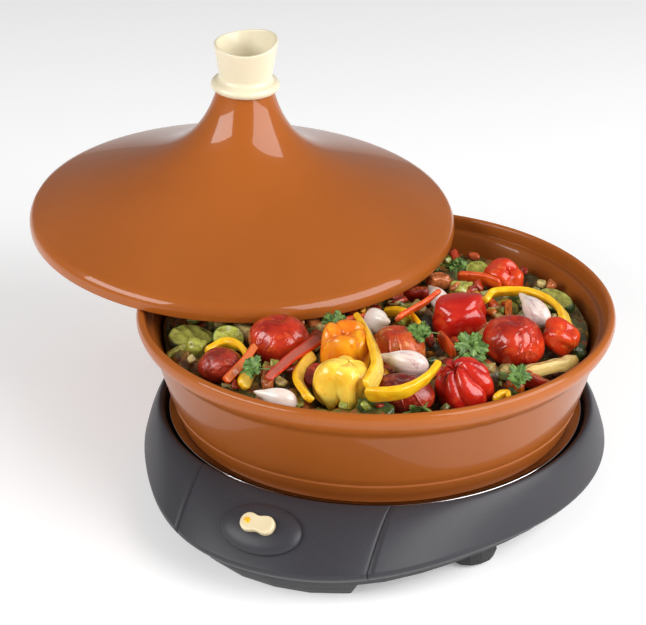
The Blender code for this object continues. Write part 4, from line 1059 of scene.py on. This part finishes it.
def strip_points(spots, width, thickness, lean, seed, taper=0.0):
    """A box |cos|^0.5, |sin|^0.5 set square to the path, leaned about it, tapered at the ends."""
    rows, columns = 100, 40
    path = smooth_path(spots, rows)
    ahead = np.gradient(path, axis=0)
    ahead /= np.linalg.norm(ahead, axis=1, keepdims=True)
    up = np.array([0, 0, 1]) - ahead[:, 2:] * ahead
    up /= np.linalg.norm(up, axis=1, keepdims=True)
    side = np.cross(ahead, up)
    lean = np.radians(lean)
    broad, thin = up * np.cos(lean) + side * np.sin(lean), side * np.cos(lean) - up * np.sin(lean)
    share = np.linspace(0, 1, rows)
    length = np.linalg.norm(np.diff(path, axis=0), axis=1).sum()
    to_end = np.minimum(share, 1 - share) * length
    full = np.sqrt(np.clip(1 - (1 - np.clip(to_end / (0.35 * width), 0, 1)) ** 2, 0, 1))
    wide = width / 2 * full * (1 + taper * (share - 0.5)) * (1 + 0.03 * np.sin(9 * share + seed))
    thick = thickness / 2 * np.sqrt(full) * (full > 0) * (1 + 0.05 * np.sin(7 * share + 2 * seed))
    angle = np.linspace(0, TURN, columns, endpoint=False)
    across, through = boxed(np.cos(angle), 0.5), boxed(np.sin(angle), 0.5)
    cup = 0.20 * (1 - across ** 2)
    points = (path[:, None] + wide[:, None, None] * across[:, None] * broad[:, None]
              + (thick[:, None, None] * through[:, None] + 0.3 * thickness * (cup - 0.1)[:, None]
                 * full[:, None, None]) * thin[:, None])
    points += 0.12 * ripples(points, 9, seed)[..., None] * thin[:, None] * full[:, None, None]
    own = np.stack(np.broadcast_arrays(share[:, None] * length / 10, across, through), -1)
    return points, own


def strip_material(name, dark, light, flesh, rim):
    """Skin on one broad side, flesh on the other inside a rim of the skin's colour."""
    made = start_material(name, 0.16, Coat_Weight=0.3, Coat_Roughness=0.05, Specular_IOR_Level=0.4,
                          Subsurface_Weight=0.06, Subsurface_Radius=(0.005, 0.002, 0.0006))
    own = own_spot(made)
    parts = node(made, "SeparateXYZ", {"Vector": own})
    drift = clouds(made, own, 1.3, 4)
    skin = ramp(made, drift, [(0.35, dark), (0.62, light)])
    streaks = node(made, "Mapping", {"Vector": own, "Scale": (0.5, 3, 1)}).outputs["Vector"]
    streak = clouds(made, streaks, 2.2, 5)
    pale = ramp(made, streak, [(0.35, tuple(0.75 * tone for tone in flesh)), (0.62, flesh)])
    inside = node(made, "MapRange", {"Value": parts.outputs["Z"], "From Min": -0.5,
                                     "From Max": -0.9})
    away = node(made, "Math", {0: parts.outputs["Y"]}, operation="ABSOLUTE").outputs[0]
    middle = node(made, "MapRange", {"Value": away, "From Min": rim, "From Max": rim - 0.15})
    share = node(made, "Math", {0: inside.outputs["Result"], 1: middle.outputs["Result"]},
                 operation="MULTIPLY").outputs[0]
    colour = mix(made, share, skin, pale)
    connect(made, colour, "Base Color")
    grain = clouds(made, own, 3, 5)
    bump(made, grain, 0.00025)
    return made


yellow_strip = strip_material("yellow strip", (0.86, 0.40, 0.006), (0.93, 0.55, 0.015),
                              (0.93, 0.62, 0.09), 0.9)
red_strip = strip_material("red strip", (0.50, 0.020, 0.006), (0.62, 0.045, 0.010),
                           (0.46, 0.11, 0.075), 0.75)
orange_strip = strip_material("orange strip", (0.62, 0.055, 0.008), (0.74, 0.11, 0.012),
                              (0.72, 0.18, 0.05), 0.85)
STRIPS = (
    ("yellow_1", yellow_strip, ((-84, -101, -10), (-78, -92, -7), (-68, -90, -5), (-54, -99, -5),
                                (-44, -115, -7), (-38, -139, -8)), 10, 5, 35, 0.0),
    ("yellow_2", yellow_strip, ((-10, -88, -4), (-11, -102, -4), (-6, -122, -5), (11, -141, -7)),
     8, 5, 40, 0.2),
    ("yellow_3", yellow_strip, ((4, -41, 4), (18, -60, 5), (33, -82, 4), (44, -104, 2),
                                (47, -127, -1)), 11, 5, 30, 0.3),
    ("yellow_4", yellow_strip, ((47, -131, -1), (61, -131, 2), (73, -124, 4), (80, -107, 6),
                                (81, -88, 8)), 11, 5, 20, -0.2),
    ("yellow_5", yellow_strip, ((67, 40, -6), (70, 54, -4), (90, 62, -3), (108, 58, -3),
                                (124, 45, -4), (133, 28, -6)), 11, 5, 40, 0.2),
    ("yellow_6", yellow_strip, ((119, -85, -12), (121, -79, -11), (125, -76, -11),
                                (128, -80, -11)), 7, 4, 10, 0.0),
    ("yellow_7", yellow_strip, ((2, 15, -15), (14, 12, -11), (27, 2, -7), (42, -13, -8)),
     9, 4, 30, 0.0),
    ("red_1", orange_strip, ((-47, -101, 0), (-46, -119, -2), (-48, -145, -6)), 5.5, 3.5, 45, 0.2),
    ("red_2", red_strip, ((-11, -73, 0), (-16, -106, 1), (-18, -122, 0), (-20, -138, -1)),
     7, 3.5, 65, -0.4),
    ("red_3", orange_strip, ((31, 86, -12), (48, 87, -11), (66, 84, -12)), 11, 4, 20, 0.2),
    ("red_4", orange_strip, ((24, -20, -4), (30, -6, -2), (36, 7, 0), (40, 22, 2)),
     9, 3.5, 35, 0.0),
    ("red_6", orange_strip, ((58, -24, -7), (67, -33, -6), (75, -40, -8)), 13, 4, 10, -0.5),
    ("orange_1", orange_strip, ((-19, -26, -13), (-5, -9, -13), (8, -1, -12)), 12, 4, 10, 0.0))
STRIP_SLOTS = {"yellow strip": "yellow_pepper", "red strip": "red_pepper",
               "orange strip": "red_pepper"}
for seed, (name, material, spots, width, thickness, lean, taper) in enumerate(STRIPS):
    points, own = strip_points(spots, width, thickness, lean, seed, taper)
    slot = "orange_pepper" if name in ("red_3", "orange_1") else STRIP_SLOTS[material.name]
    food(f"slice_{name}", [(set_down(points, f"strip_{name}"), own)], material, slot,
         f"strip_{name}")

# %% [markdown]
# ## Courgette slices
# A slice is a low drum, wide and uneven, with green skin round its edge and pale flesh with a
# seedy middle on its cut faces.

# %% Courgettes
def slice_points(size, seed):
    """A drum (length, width, thickness) with rounded edges; radius x (1 + 0.05 ripples)."""
    length, width, thickness = size
    profile = rounded([(0, 0.5, 0), (0.30, 0.5, 0), (0.47, 0.5, 0.03), (0.5, 0.2, 0.1),
                       (0.5, -0.3, 0.1), (0.46, -0.5, 0.03), (0.3, -0.5, 0), (0, -0.5, 0)], 5)
    steps = [np.linspace(a, b, 7)[1:] for a, b in zip(profile[:-1], profile[1:])]
    rows = np.concatenate([profile[:1], *steps])
    around = np.linspace(0, TURN, 90, endpoint=False)
    ball = np.stack(np.broadcast_arrays(rows[:, :1] * np.cos(around), rows[:, :1] * np.sin(around),
                                        rows[:, 1:]), -1)
    edge = 1 + 0.05 * ripples(np.stack([np.cos(around), np.sin(around), 0 * around], -1), 2.5, seed)
    points = ball * np.array([length, width, thickness]) * edge[None, :, None] ** [1, 1, 0]
    points[..., 2] += 0.4 * ripples(points * [1, 1, 0], 9, seed + 1)
    return points, ball * 2


def courgette_material(name, core, flesh, skin, shadow=0.75):
    """Colour by distance from the slice's middle: seedy core, pale flesh, thin skin."""
    made = start_material(name, 0.24, Coat_Weight=0.35, Coat_Roughness=0.08,
                          Subsurface_Weight=0.1, Subsurface_Radius=(0.003, 0.004, 0.001))
    own = own_spot(made)
    flat = node(made, "Mapping", {"Vector": own, "Scale": (1, 1, 0)}).outputs["Vector"]
    away = node(made, "VectorMath", {0: flat}, operation="LENGTH").outputs["Value"]
    between = tuple((a + b) / 2 for a, b in zip(flesh, skin))
    rings = ramp(made, away, [(0.0, core), (0.45, flesh), (0.84, flesh), (0.93, between),
                              (0.97, skin)])
    patches = clouds(made, own, 3.5, 6)
    shade = ramp(made, patches, [(0.36, (0.42, 0.36, 0.26)), (0.60, (1, 1, 1))])
    colour = mix(made, shadow, rings, shade, "MULTIPLY")
    connect(made, colour, "Base Color")
    grain = clouds(made, own, 8, 6)
    bump(made, grain, 0.0006)
    return made


green_slice = courgette_material("courgette", (0.34, 0.33, 0.06), (0.44, 0.44, 0.09),
                                 (0.022, 0.060, 0.012))
# A lighter copy of the courgette finish with painted light, for the slices that stand in the light
painted_lit_slice = courgette_material("painted lit courgette", (0.48, 0.48, 0.06), (0.52, 0.54, 0.08),
                               (0.10, 0.20, 0.03))
pale_slice = courgette_material("pale courgette", (0.84, 0.62, 0.20), (0.88, 0.70, 0.28),
                                (0.80, 0.58, 0.16), 0.15)
for number, size, turn, flesh in (
        (1, (34, 26, 8), (15, 8, 40), green_slice), (3, (22, 20, 15), (60, 0, 30), painted_lit_slice),
        (4, (20, 18, 8), (25, 10, 0), painted_lit_slice), (5, (34, 20, 8), (24, 0, -28), green_slice),
        (7, (56, 19, 8), (-26, 0, 49), pale_slice)):
    points, own = slice_points(size, 90 + number)
    food(f"courgette_slice_{number}", [(set_down(points, f"courgette_{number}", turn), own)],
         flesh, "courgette", f"courgette_{number}")

# %% [markdown]
# ## Coriander
# A coriander leaf is a fan of three leaflets on one stalk. Each leaflet is cut into lobes, and
# each lobe is toothed. In polar form that is a radius which swings slowly for the lobes and
# quickly for the teeth. The blade runs from its middle out to the edge on top and back again
# below, and is folded a little along its midrib.

# %% Coriander
def leaflet(reach, seed):
    """A toothed fan: reach x (0.42 + 0.44 |cos 2.5 b|^0.6 + 0.16 |cos 9.5 b|), b from its tip."""
    share = np.concatenate([np.linspace(0, 1, 9), np.linspace(1, 0, 9)])[:, None]
    top = np.concatenate([np.ones(9), -np.ones(9)])[:, None]
    bearing = np.linspace(-np.pi, np.pi, 132, endpoint=False)
    lobes = (0.42 + 0.44 * np.abs(np.cos(2.5 * bearing)) ** 0.6
             + 0.16 * np.abs(np.cos(9.5 * bearing)))
    lobes = lobes * (1 - 0.62 * np.exp(-((np.abs(bearing) - np.pi) / 0.6) ** 2))
    lobes = lobes * (1 + 0.12 * np.sin(2 * bearing + seed))
    out = share * lobes * reach
    x, y = out * np.cos(bearing) + 0.40 * reach, out * np.sin(bearing)
    thick = 0.20 * np.sqrt(np.clip(1 - share ** 2, 0, 1)) + 0.05 * (share < 1)
    wave = (0.13 * reach * share ** 2 * np.sin(3 * bearing + seed)
            + 0.05 * reach * share ** 2 * np.cos(8 * bearing + 2 * seed))
    z = top * thick + wave + 0.30 * np.abs(y) - 0.028 * x * x
    veins = np.broadcast_to(np.abs(np.cos(2.5 * bearing)) ** 40, x.shape)
    return np.stack([x, y, z], -1), np.stack([x / reach, y / reach, veins], -1)


def stalk(start, end, radius, sag):
    """A thin tube between two points in mm that sags in the middle."""
    share = np.linspace(0, 1, 12)[:, None]
    line = (np.array(start) * (1 - share) + np.array(end) * share
            + [0, 0, sag] * (4 * share * (1 - share)))
    angle = np.linspace(0, TURN, 8, endpoint=False)
    ahead = np.array(end, float) - start
    side = np.cross(ahead, [0, 0, 1.0])
    side /= np.linalg.norm(side)
    up = np.cross(side, ahead) / np.linalg.norm(ahead)
    full = radius * np.sqrt(np.clip(1 - (2 * share - 1) ** 8, 0, 1))
    ring = np.cos(angle)[:, None] * side + np.sin(angle)[:, None] * up
    points = line[:, None] + full[:, None] * ring
    return points, np.full(points.shape, 0.9)


def sprig(size, seed):
    """Three leaflets round the stalk's end, each lifted its own way, and the stalk."""
    tables = []
    for turn, share in ((5, 1.0), (62, 0.78), (-66, 0.86)):
        points, own = leaflet(size * 0.33 * share, seed + turn)
        spin = np.array(Matrix.Rotation(np.radians(turn), 3, "Z"))
        lift = np.array(Matrix.Rotation(np.radians(-10 + 16 * np.sin(seed + turn)), 3, "Y"))
        roll = np.array(Matrix.Rotation(np.radians(20 * np.sin(2 * seed + turn)), 3, "X"))
        tables.append((points @ (spin @ lift @ roll).T, own + [3 * seed + turn, 0, 0]))
    tables.append(stalk((0.05 * size, 0, -0.2), (-0.42 * size, 0.10 * size, -1.2), 0.5, 0.6))
    middle = np.array([0.08 * size, 0, 0])
    return [(points - middle, own) for points, own in tables]


def coriander_material():
    """Three greens by noise, paler along the veins."""
    made = start_material("coriander leaf", 0.40, Subsurface_Weight=0.05, Specular_IOR_Level=0.35,
                          Subsurface_Radius=(0.001, 0.003, 0.0008), Coat_Weight=0.1,
                          Coat_Roughness=0.15)
    own = own_spot(made)
    vein = node(made, "SeparateXYZ", {"Vector": own}).outputs["Z"]
    patches = clouds(made, own, 1.9, 6)
    blade = ramp(made, patches, [(0.38, (0.035, 0.080, 0.013)), (0.50, (0.095, 0.185, 0.032)),
                                 (0.64, (0.21, 0.34, 0.080))])
    share = node(made, "Math", {0: vein, 1: 0.6}, operation="MULTIPLY").outputs[0]
    colour = mix(made, share, blade, (0.20, 0.34, 0.10, 1))
    connect(made, colour, "Base Color")
    bump(made, patches, 0.0008)
    return made


coriander_leaf = coriander_material()
SPRIGS = ((1, 24, (28, 0, 10), 200), (2, 27, (30, 15, 40), 100), (3, 25, (20, 5, 0), 120),
          (4, 28, (20, -10, 70), 150), (5, 35, (40, 10, 20), 60), (7, 26, (25, 15, 0), 20),
          (8, 25, (0, -32, -57), 90))
for number, size, turn, heading in SPRIGS:
    spin = np.array(Matrix.Rotation(np.radians(heading), 3, "Z"))
    tables = [(points @ spin.T, own) for points, own in sprig(size, number)]
    spots = [points @ turn_of(turn).T * MM for points, _ in tables]
    shift = shift_to(f"coriander_{number}", np.concatenate([spot.reshape(-1, 3) for spot in spots]))
    tables = [(spot + shift, own) for spot, (_, own) in zip(spots, tables)]
    food(f"coriander_sprig_{number}", tables, coriander_leaf, "coriander", f"coriander_{number}")

# %% [markdown]
# ## The bed
# Between the large pieces lies a heap of small ones. Its core is a copy of the CAD bed, divided
# finely and roughened with ripples. On it lie a few hundred diced pieces, made all at once as one
# big array: blocks with rounded edges, each turned its own way.

# %% Bed core
BED_REACH = 0.150


def bed_core():
    """A merged, divided copy of the CAD bed whose points move along their normals by ripples."""
    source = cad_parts["food_bed"]
    shape = bmesh.new()
    shape.from_mesh(source.data)
    bmesh.ops.remove_doubles(shape, verts=shape.verts, dist=1e-6)
    for _ in range(2):
        bmesh.ops.subdivide_edges(shape, edges=shape.edges, cuts=1, use_grid_fill=True)
        bmesh.ops.smooth_vert(shape, verts=shape.verts, factor=0.4, use_axis_x=True,
                              use_axis_y=True, use_axis_z=True)
    bmesh.ops.triangulate(shape, faces=shape.faces)
    mesh = bpy.data.meshes.new("vegetable_heap")
    shape.to_mesh(mesh)
    shape.free()
    count = len(mesh.vertices)
    spots, normals = np.empty(count * 3), np.empty(count * 3)
    mesh.vertices.foreach_get("co", spots)
    mesh.vertex_normals.foreach_get("vector", normals)
    spots, normals = spots.reshape(-1, 3), normals.reshape(-1, 3)
    rise = 0.0008 * ripples(spots, 0.009, 5) + 0.0005 * ripples(spots, 0.004, 6) - 0.0006
    inner = np.hypot(*(spots - AXIS)[:, :2].T) < BED_REACH
    spots = spots + normals * (rise * inner)[:, None]
    mesh.vertices.foreach_set("co", spots.ravel())
    own = mesh.attributes.new("own", "FLOAT_VECTOR", "POINT")
    own.data.foreach_set("vector", (spots * 100).ravel())
    mesh.shade_smooth()
    thing = bpy.data.objects.new("vegetable_heap", mesh)
    bpy.context.scene.collection.objects.link(thing)
    return thing


def bed_material():
    """Patches of olive, brown, ochre and tomato red, as of many vegetables cooked together."""
    made = start_material("vegetable heap", 0.25, Coat_Weight=0.35, Coat_Roughness=0.08)
    own = own_spot(made)
    cells = node(made, "TexVoronoi", {"Vector": own, "Scale": 1.1}).outputs["Color"]
    pick = node(made, "SeparateXYZ", {"Vector": cells}).outputs["X"]
    colour = ramp(made, pick, [(0.0, (0.045, 0.040, 0.012)), (0.35, (0.14, 0.11, 0.026)),
                               (0.5, (0.32, 0.20, 0.045)), (0.66, (0.32, 0.060, 0.016)),
                               (0.8, (0.11, 0.10, 0.024))])
    connect(made, colour, "Base Color")
    grain = clouds(made, own, 4, 6)
    bump(made, grain, 0.0012)
    return made


stand_in(bed_core(), bed_material(), "vegetable_bed", "food_bed")

# %% [markdown]
# Each diced piece needs a free spot on the heap. Random spots are tried in one seeded order, the
# heap's height is found by a ray from above, and a spot counts if no large piece is too near.
# A few pieces that stand out in the picture have spots of their own.

# %% Diced pieces
def tree_of(name):
    """A search tree of an object's mesh."""
    mesh = bpy.data.objects[name].data
    return BVHTree.FromPolygons([v.co for v in mesh.vertices],
                                [tuple(f.vertices) for f in mesh.polygons])


LARGE = [tree_of(thing.name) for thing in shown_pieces()
         if thing.get("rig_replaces") and thing.get("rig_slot") in (
             "tomato", "cut_tomato", "red_pepper", "yellow_pepper", "orange_pepper", "garlic",
             "coriander", "courgette")]
HEAP = tree_of("vegetable_heap")


def free_spots(count, seed, smallest, largest, room, apart, rise, edge):
    """Spots on the heap that are clear of the large pieces by room x size."""
    draw = np.random.default_rng(seed)
    found = []
    for _ in range(40 * count):
        reach, bearing = edge * np.sqrt(draw.random()), draw.uniform(0, TURN)
        size = draw.uniform(smallest, largest) * MM
        x, y = AXIS[0] + reach * np.cos(bearing), AXIS[1] + reach * np.sin(bearing)
        hit = HEAP.ray_cast(Vector((x, y, 0.3)), Vector((0, 0, -1)))[0]
        if hit is None or len(found) >= count:
            continue
        spot = hit + Vector((0, 0, rise * size))
        clear = all(tree.find_nearest(spot, room * size)[0] is None for tree in LARGE)
        if clear and all((spot - other).length > apart * (size + width) for other, width in found):
            found.append((spot, size))
    return np.array([tuple(spot) for spot, _ in found]), np.array([size for _, size in found])


DICE_LOW, DICE_HIGH = (0.75, 0.6, 0.4), (1.25, 1.0, 0.7)
DICE_TILT, DICE_POWER = 0.7, 0.55


def diced(spots, sizes, seed):
    """Rounded blocks as one array (pieces, rows, columns, 3): boxy balls, turned at random."""
    draw = np.random.default_rng(seed)
    down, around = globe(9, 16)
    ball = ball_points(down, around)
    block = boxed(ball, DICE_POWER) * (1 + 0.08 * ripples(ball, 1.2, seed))[..., None]
    stretch = draw.uniform(DICE_LOW, DICE_HIGH, (len(spots), 3))
    angles = draw.uniform([-DICE_TILT, -DICE_TILT, 0], [DICE_TILT, DICE_TILT, TURN],
                          (len(spots), 3))
    turns = np.array([np.array(Euler(a).to_matrix()) for a in angles])
    points = block[None] * (stretch * sizes[:, None] / 2)[:, None, None]
    points = np.einsum("nrck,njk->nrcj", points, turns) + spots[:, None, None]
    shade = np.broadcast_to(draw.random(len(spots))[:, None, None, None], (*points.shape[:3], 1))
    own = np.concatenate([np.broadcast_to(block[None], points.shape)[..., :2], shade], -1)
    return [(piece, inner) for piece, inner in zip(points, own)]


def diced_material(name, ramp_steps, gloss=0.22):
    """Each piece takes its own place on a ramp, kept in its third own coordinate."""
    made = start_material(name, gloss, Coat_Weight=0.35, Coat_Roughness=0.08,
                          Subsurface_Weight=0.08, Subsurface_Radius=(0.003, 0.002, 0.0008))
    own = own_spot(made)
    pick = node(made, "SeparateXYZ", {"Vector": own}).outputs["Z"]
    colour = ramp(made, pick, ramp_steps)
    where = node(made, "TexCoord").outputs["Object"]
    patches = clouds(made, where, 260, 5)
    shade = ramp(made, patches, [(0.36, (0.45, 0.4, 0.32)), (0.6, (1, 1, 1))])
    mixed = mix(made, 0.85, colour, shade, "MULTIPLY")
    connect(made, mixed, "Base Color")
    bump(made, patches, 0.0008)
    return made


GREENS = [(0.0, (0.50, 0.50, 0.10)), (0.35, (0.38, 0.40, 0.06)), (0.6, (0.16, 0.22, 0.03)),
          (0.8, (0.035, 0.07, 0.012)), (1.0, (0.60, 0.56, 0.22))]
REDS = [(0.0, (0.32, 0.018, 0.008)), (0.6, (0.58, 0.07, 0.015)), (1.0, (0.66, 0.20, 0.06))]
BRIGHTS = [(0.0, (0.88, 0.46, 0.02)), (0.4, (0.72, 0.18, 0.012)), (0.7, (0.56, 0.03, 0.008)),
           (1.0, (0.90, 0.55, 0.06))]
PALES = [(0.0, (0.66, 0.52, 0.20)), (1.0, (0.46, 0.32, 0.10))]
finishes = {"courgette": diced_material("courgette dice", GREENS),
            "tomato": diced_material("tomato dice", REDS),
            "pepper": diced_material("pepper dice", BRIGHTS),
            "onion": diced_material("onion dice", PALES)}
for group, (count, seed, smallest, largest, rise, edge) in {
        "large": (90, 11, 11, 16, 0.18, 0.128), "small": (340, 17, 5, 9, 0.5, 0.146)}.items():
    spots, sizes = free_spots(count, seed, smallest, largest, 0.45, 0.34, rise, edge)
    kind = np.random.default_rng(seed + 1).random(len(spots))
    for title, low, high in (("courgette", 0.0, 0.48), ("tomato", 0.48, 0.70),
                             ("pepper", 0.70, 0.84), ("onion", 0.84, 1.0)):
        chosen = (kind >= low) & (kind < high)
        food(f"{title}_dice_{group}", diced(spots[chosen], sizes[chosen], 20), finishes[title],
             "vegetable_bed")

# %% [markdown]
# The pieces with spots of their own: what they are cut from, their place in mm about the dish's
# middle with the level from its rim, their size, how they are turned, and their own shade from
# 0 to 1 on the ramp.

# %% Pieces with a place of their own
PLACED = (
    ("courgette", (-97, -94, -15), (14, 12, 21), (20, 25, 20), 0.30),
    ("courgette", (-107, -99, -17), (9, 7, 18), (10, 60, 40), 0.02),
    ("onion", (-72, -60, -15), (20, 12, 15), (30, 10, 20), 0.2),
    ("tomato", (-27, -121, -11), (9, 20, 17), (25, 0, 15), 0.95),
    ("tomato", (-1, -105, -11), (13, 22, 13), (10, 20, 0), 0.2),
    ("courgette", (-4, -136, -15), (15, 9, 9), (0, 20, 0), 0.05),
    ("courgette", (52, -128, -13), (24, 14, 9), (30, 10, 20), 0.75),
    ("tomato", (-33, -24, -14), (22, 14, 9), (10, 10, 30), 1.0),
    ("tomato", (-22, -50, -15), (18, 18, 12), (10, 10, 0), 0.6),
    ("onion", (34, -16, -14), (24, 12, 8), (15, 5, 35), 0.1),
    ("onion", (78, -73, -16), (17, 22, 9), (10, 0, 30), 0.95),
    ("courgette", (40, 70, -15), (17, 12, 12), (20, 0, 20), 0.0),
    ("tomato", (18, 80, -16), (18, 14, 11), (0, 10, 40), 0.95),
    ("onion", (76, 42, -16), (15, 13, 12), (20, 10, 20), 0.1),
    ("pepper", (86, 41, -11), (6, 17, 11), (30, 0, 20), 0.45),
    ("courgette", (84, 68, -17), (16, 12, 11), (0, 20, 0), 0.72),
    ("onion", (80, 10, -16), (12, 20, 12), (10, 0, 20), 0.15),
    ("courgette", (147, 14, -17), (10, 14, 8), (0, 20, 20), 0.8),
    ("pepper", (124, -58, -15), (14, 10, 8), (0, 0, 30), 0.5),
    ("courgette", (56, 113, -18), (15, 11, 9), (10, 0, 20), 1.0),
    ("courgette", (75, -12, -15), (15, 13, 8), (10, 0, 60), 0.8),
    ("tomato", (38, -78, -14), (15, 15, 10), (10, 0, 0), 0.7),
    ("onion", (98, 82, -17), (18, 12, 9), (10, 0, 20), 0.0))
for title, material in finishes.items():
    tables = []
    for number, (kind, spot, size, turn, shade) in enumerate(PLACED):
        if kind != title:
            continue
        down, around = globe(21, 32)
        ball = ball_points(down, around)
        block = boxed(ball, 0.6) * (1 + 0.06 * ripples(ball, 0.9, number))[..., None]
        turned_block = block * np.array(size) / 2 @ turn_of(turn).T
        place = AXIS + np.array([spot[0], spot[1], RIM_TOP + spot[2]]) * MM
        own = np.concatenate([block[..., :2], np.full((*block.shape[:2], 1), shade)], -1)
        tables.append((turned_block * MM + place, own))
    food(f"{title}_pieces", tables, material, "vegetable_bed")

# %% [markdown]
# ## Sizes
# The finished model's box is set against the CAD box, and how far it grew is printed in mm.

# %% Finish
now_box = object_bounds()
growth = (np.array(now_box) - np.array(cad_box)) / MM
print("grew by mm", growth.round(1).tolist())
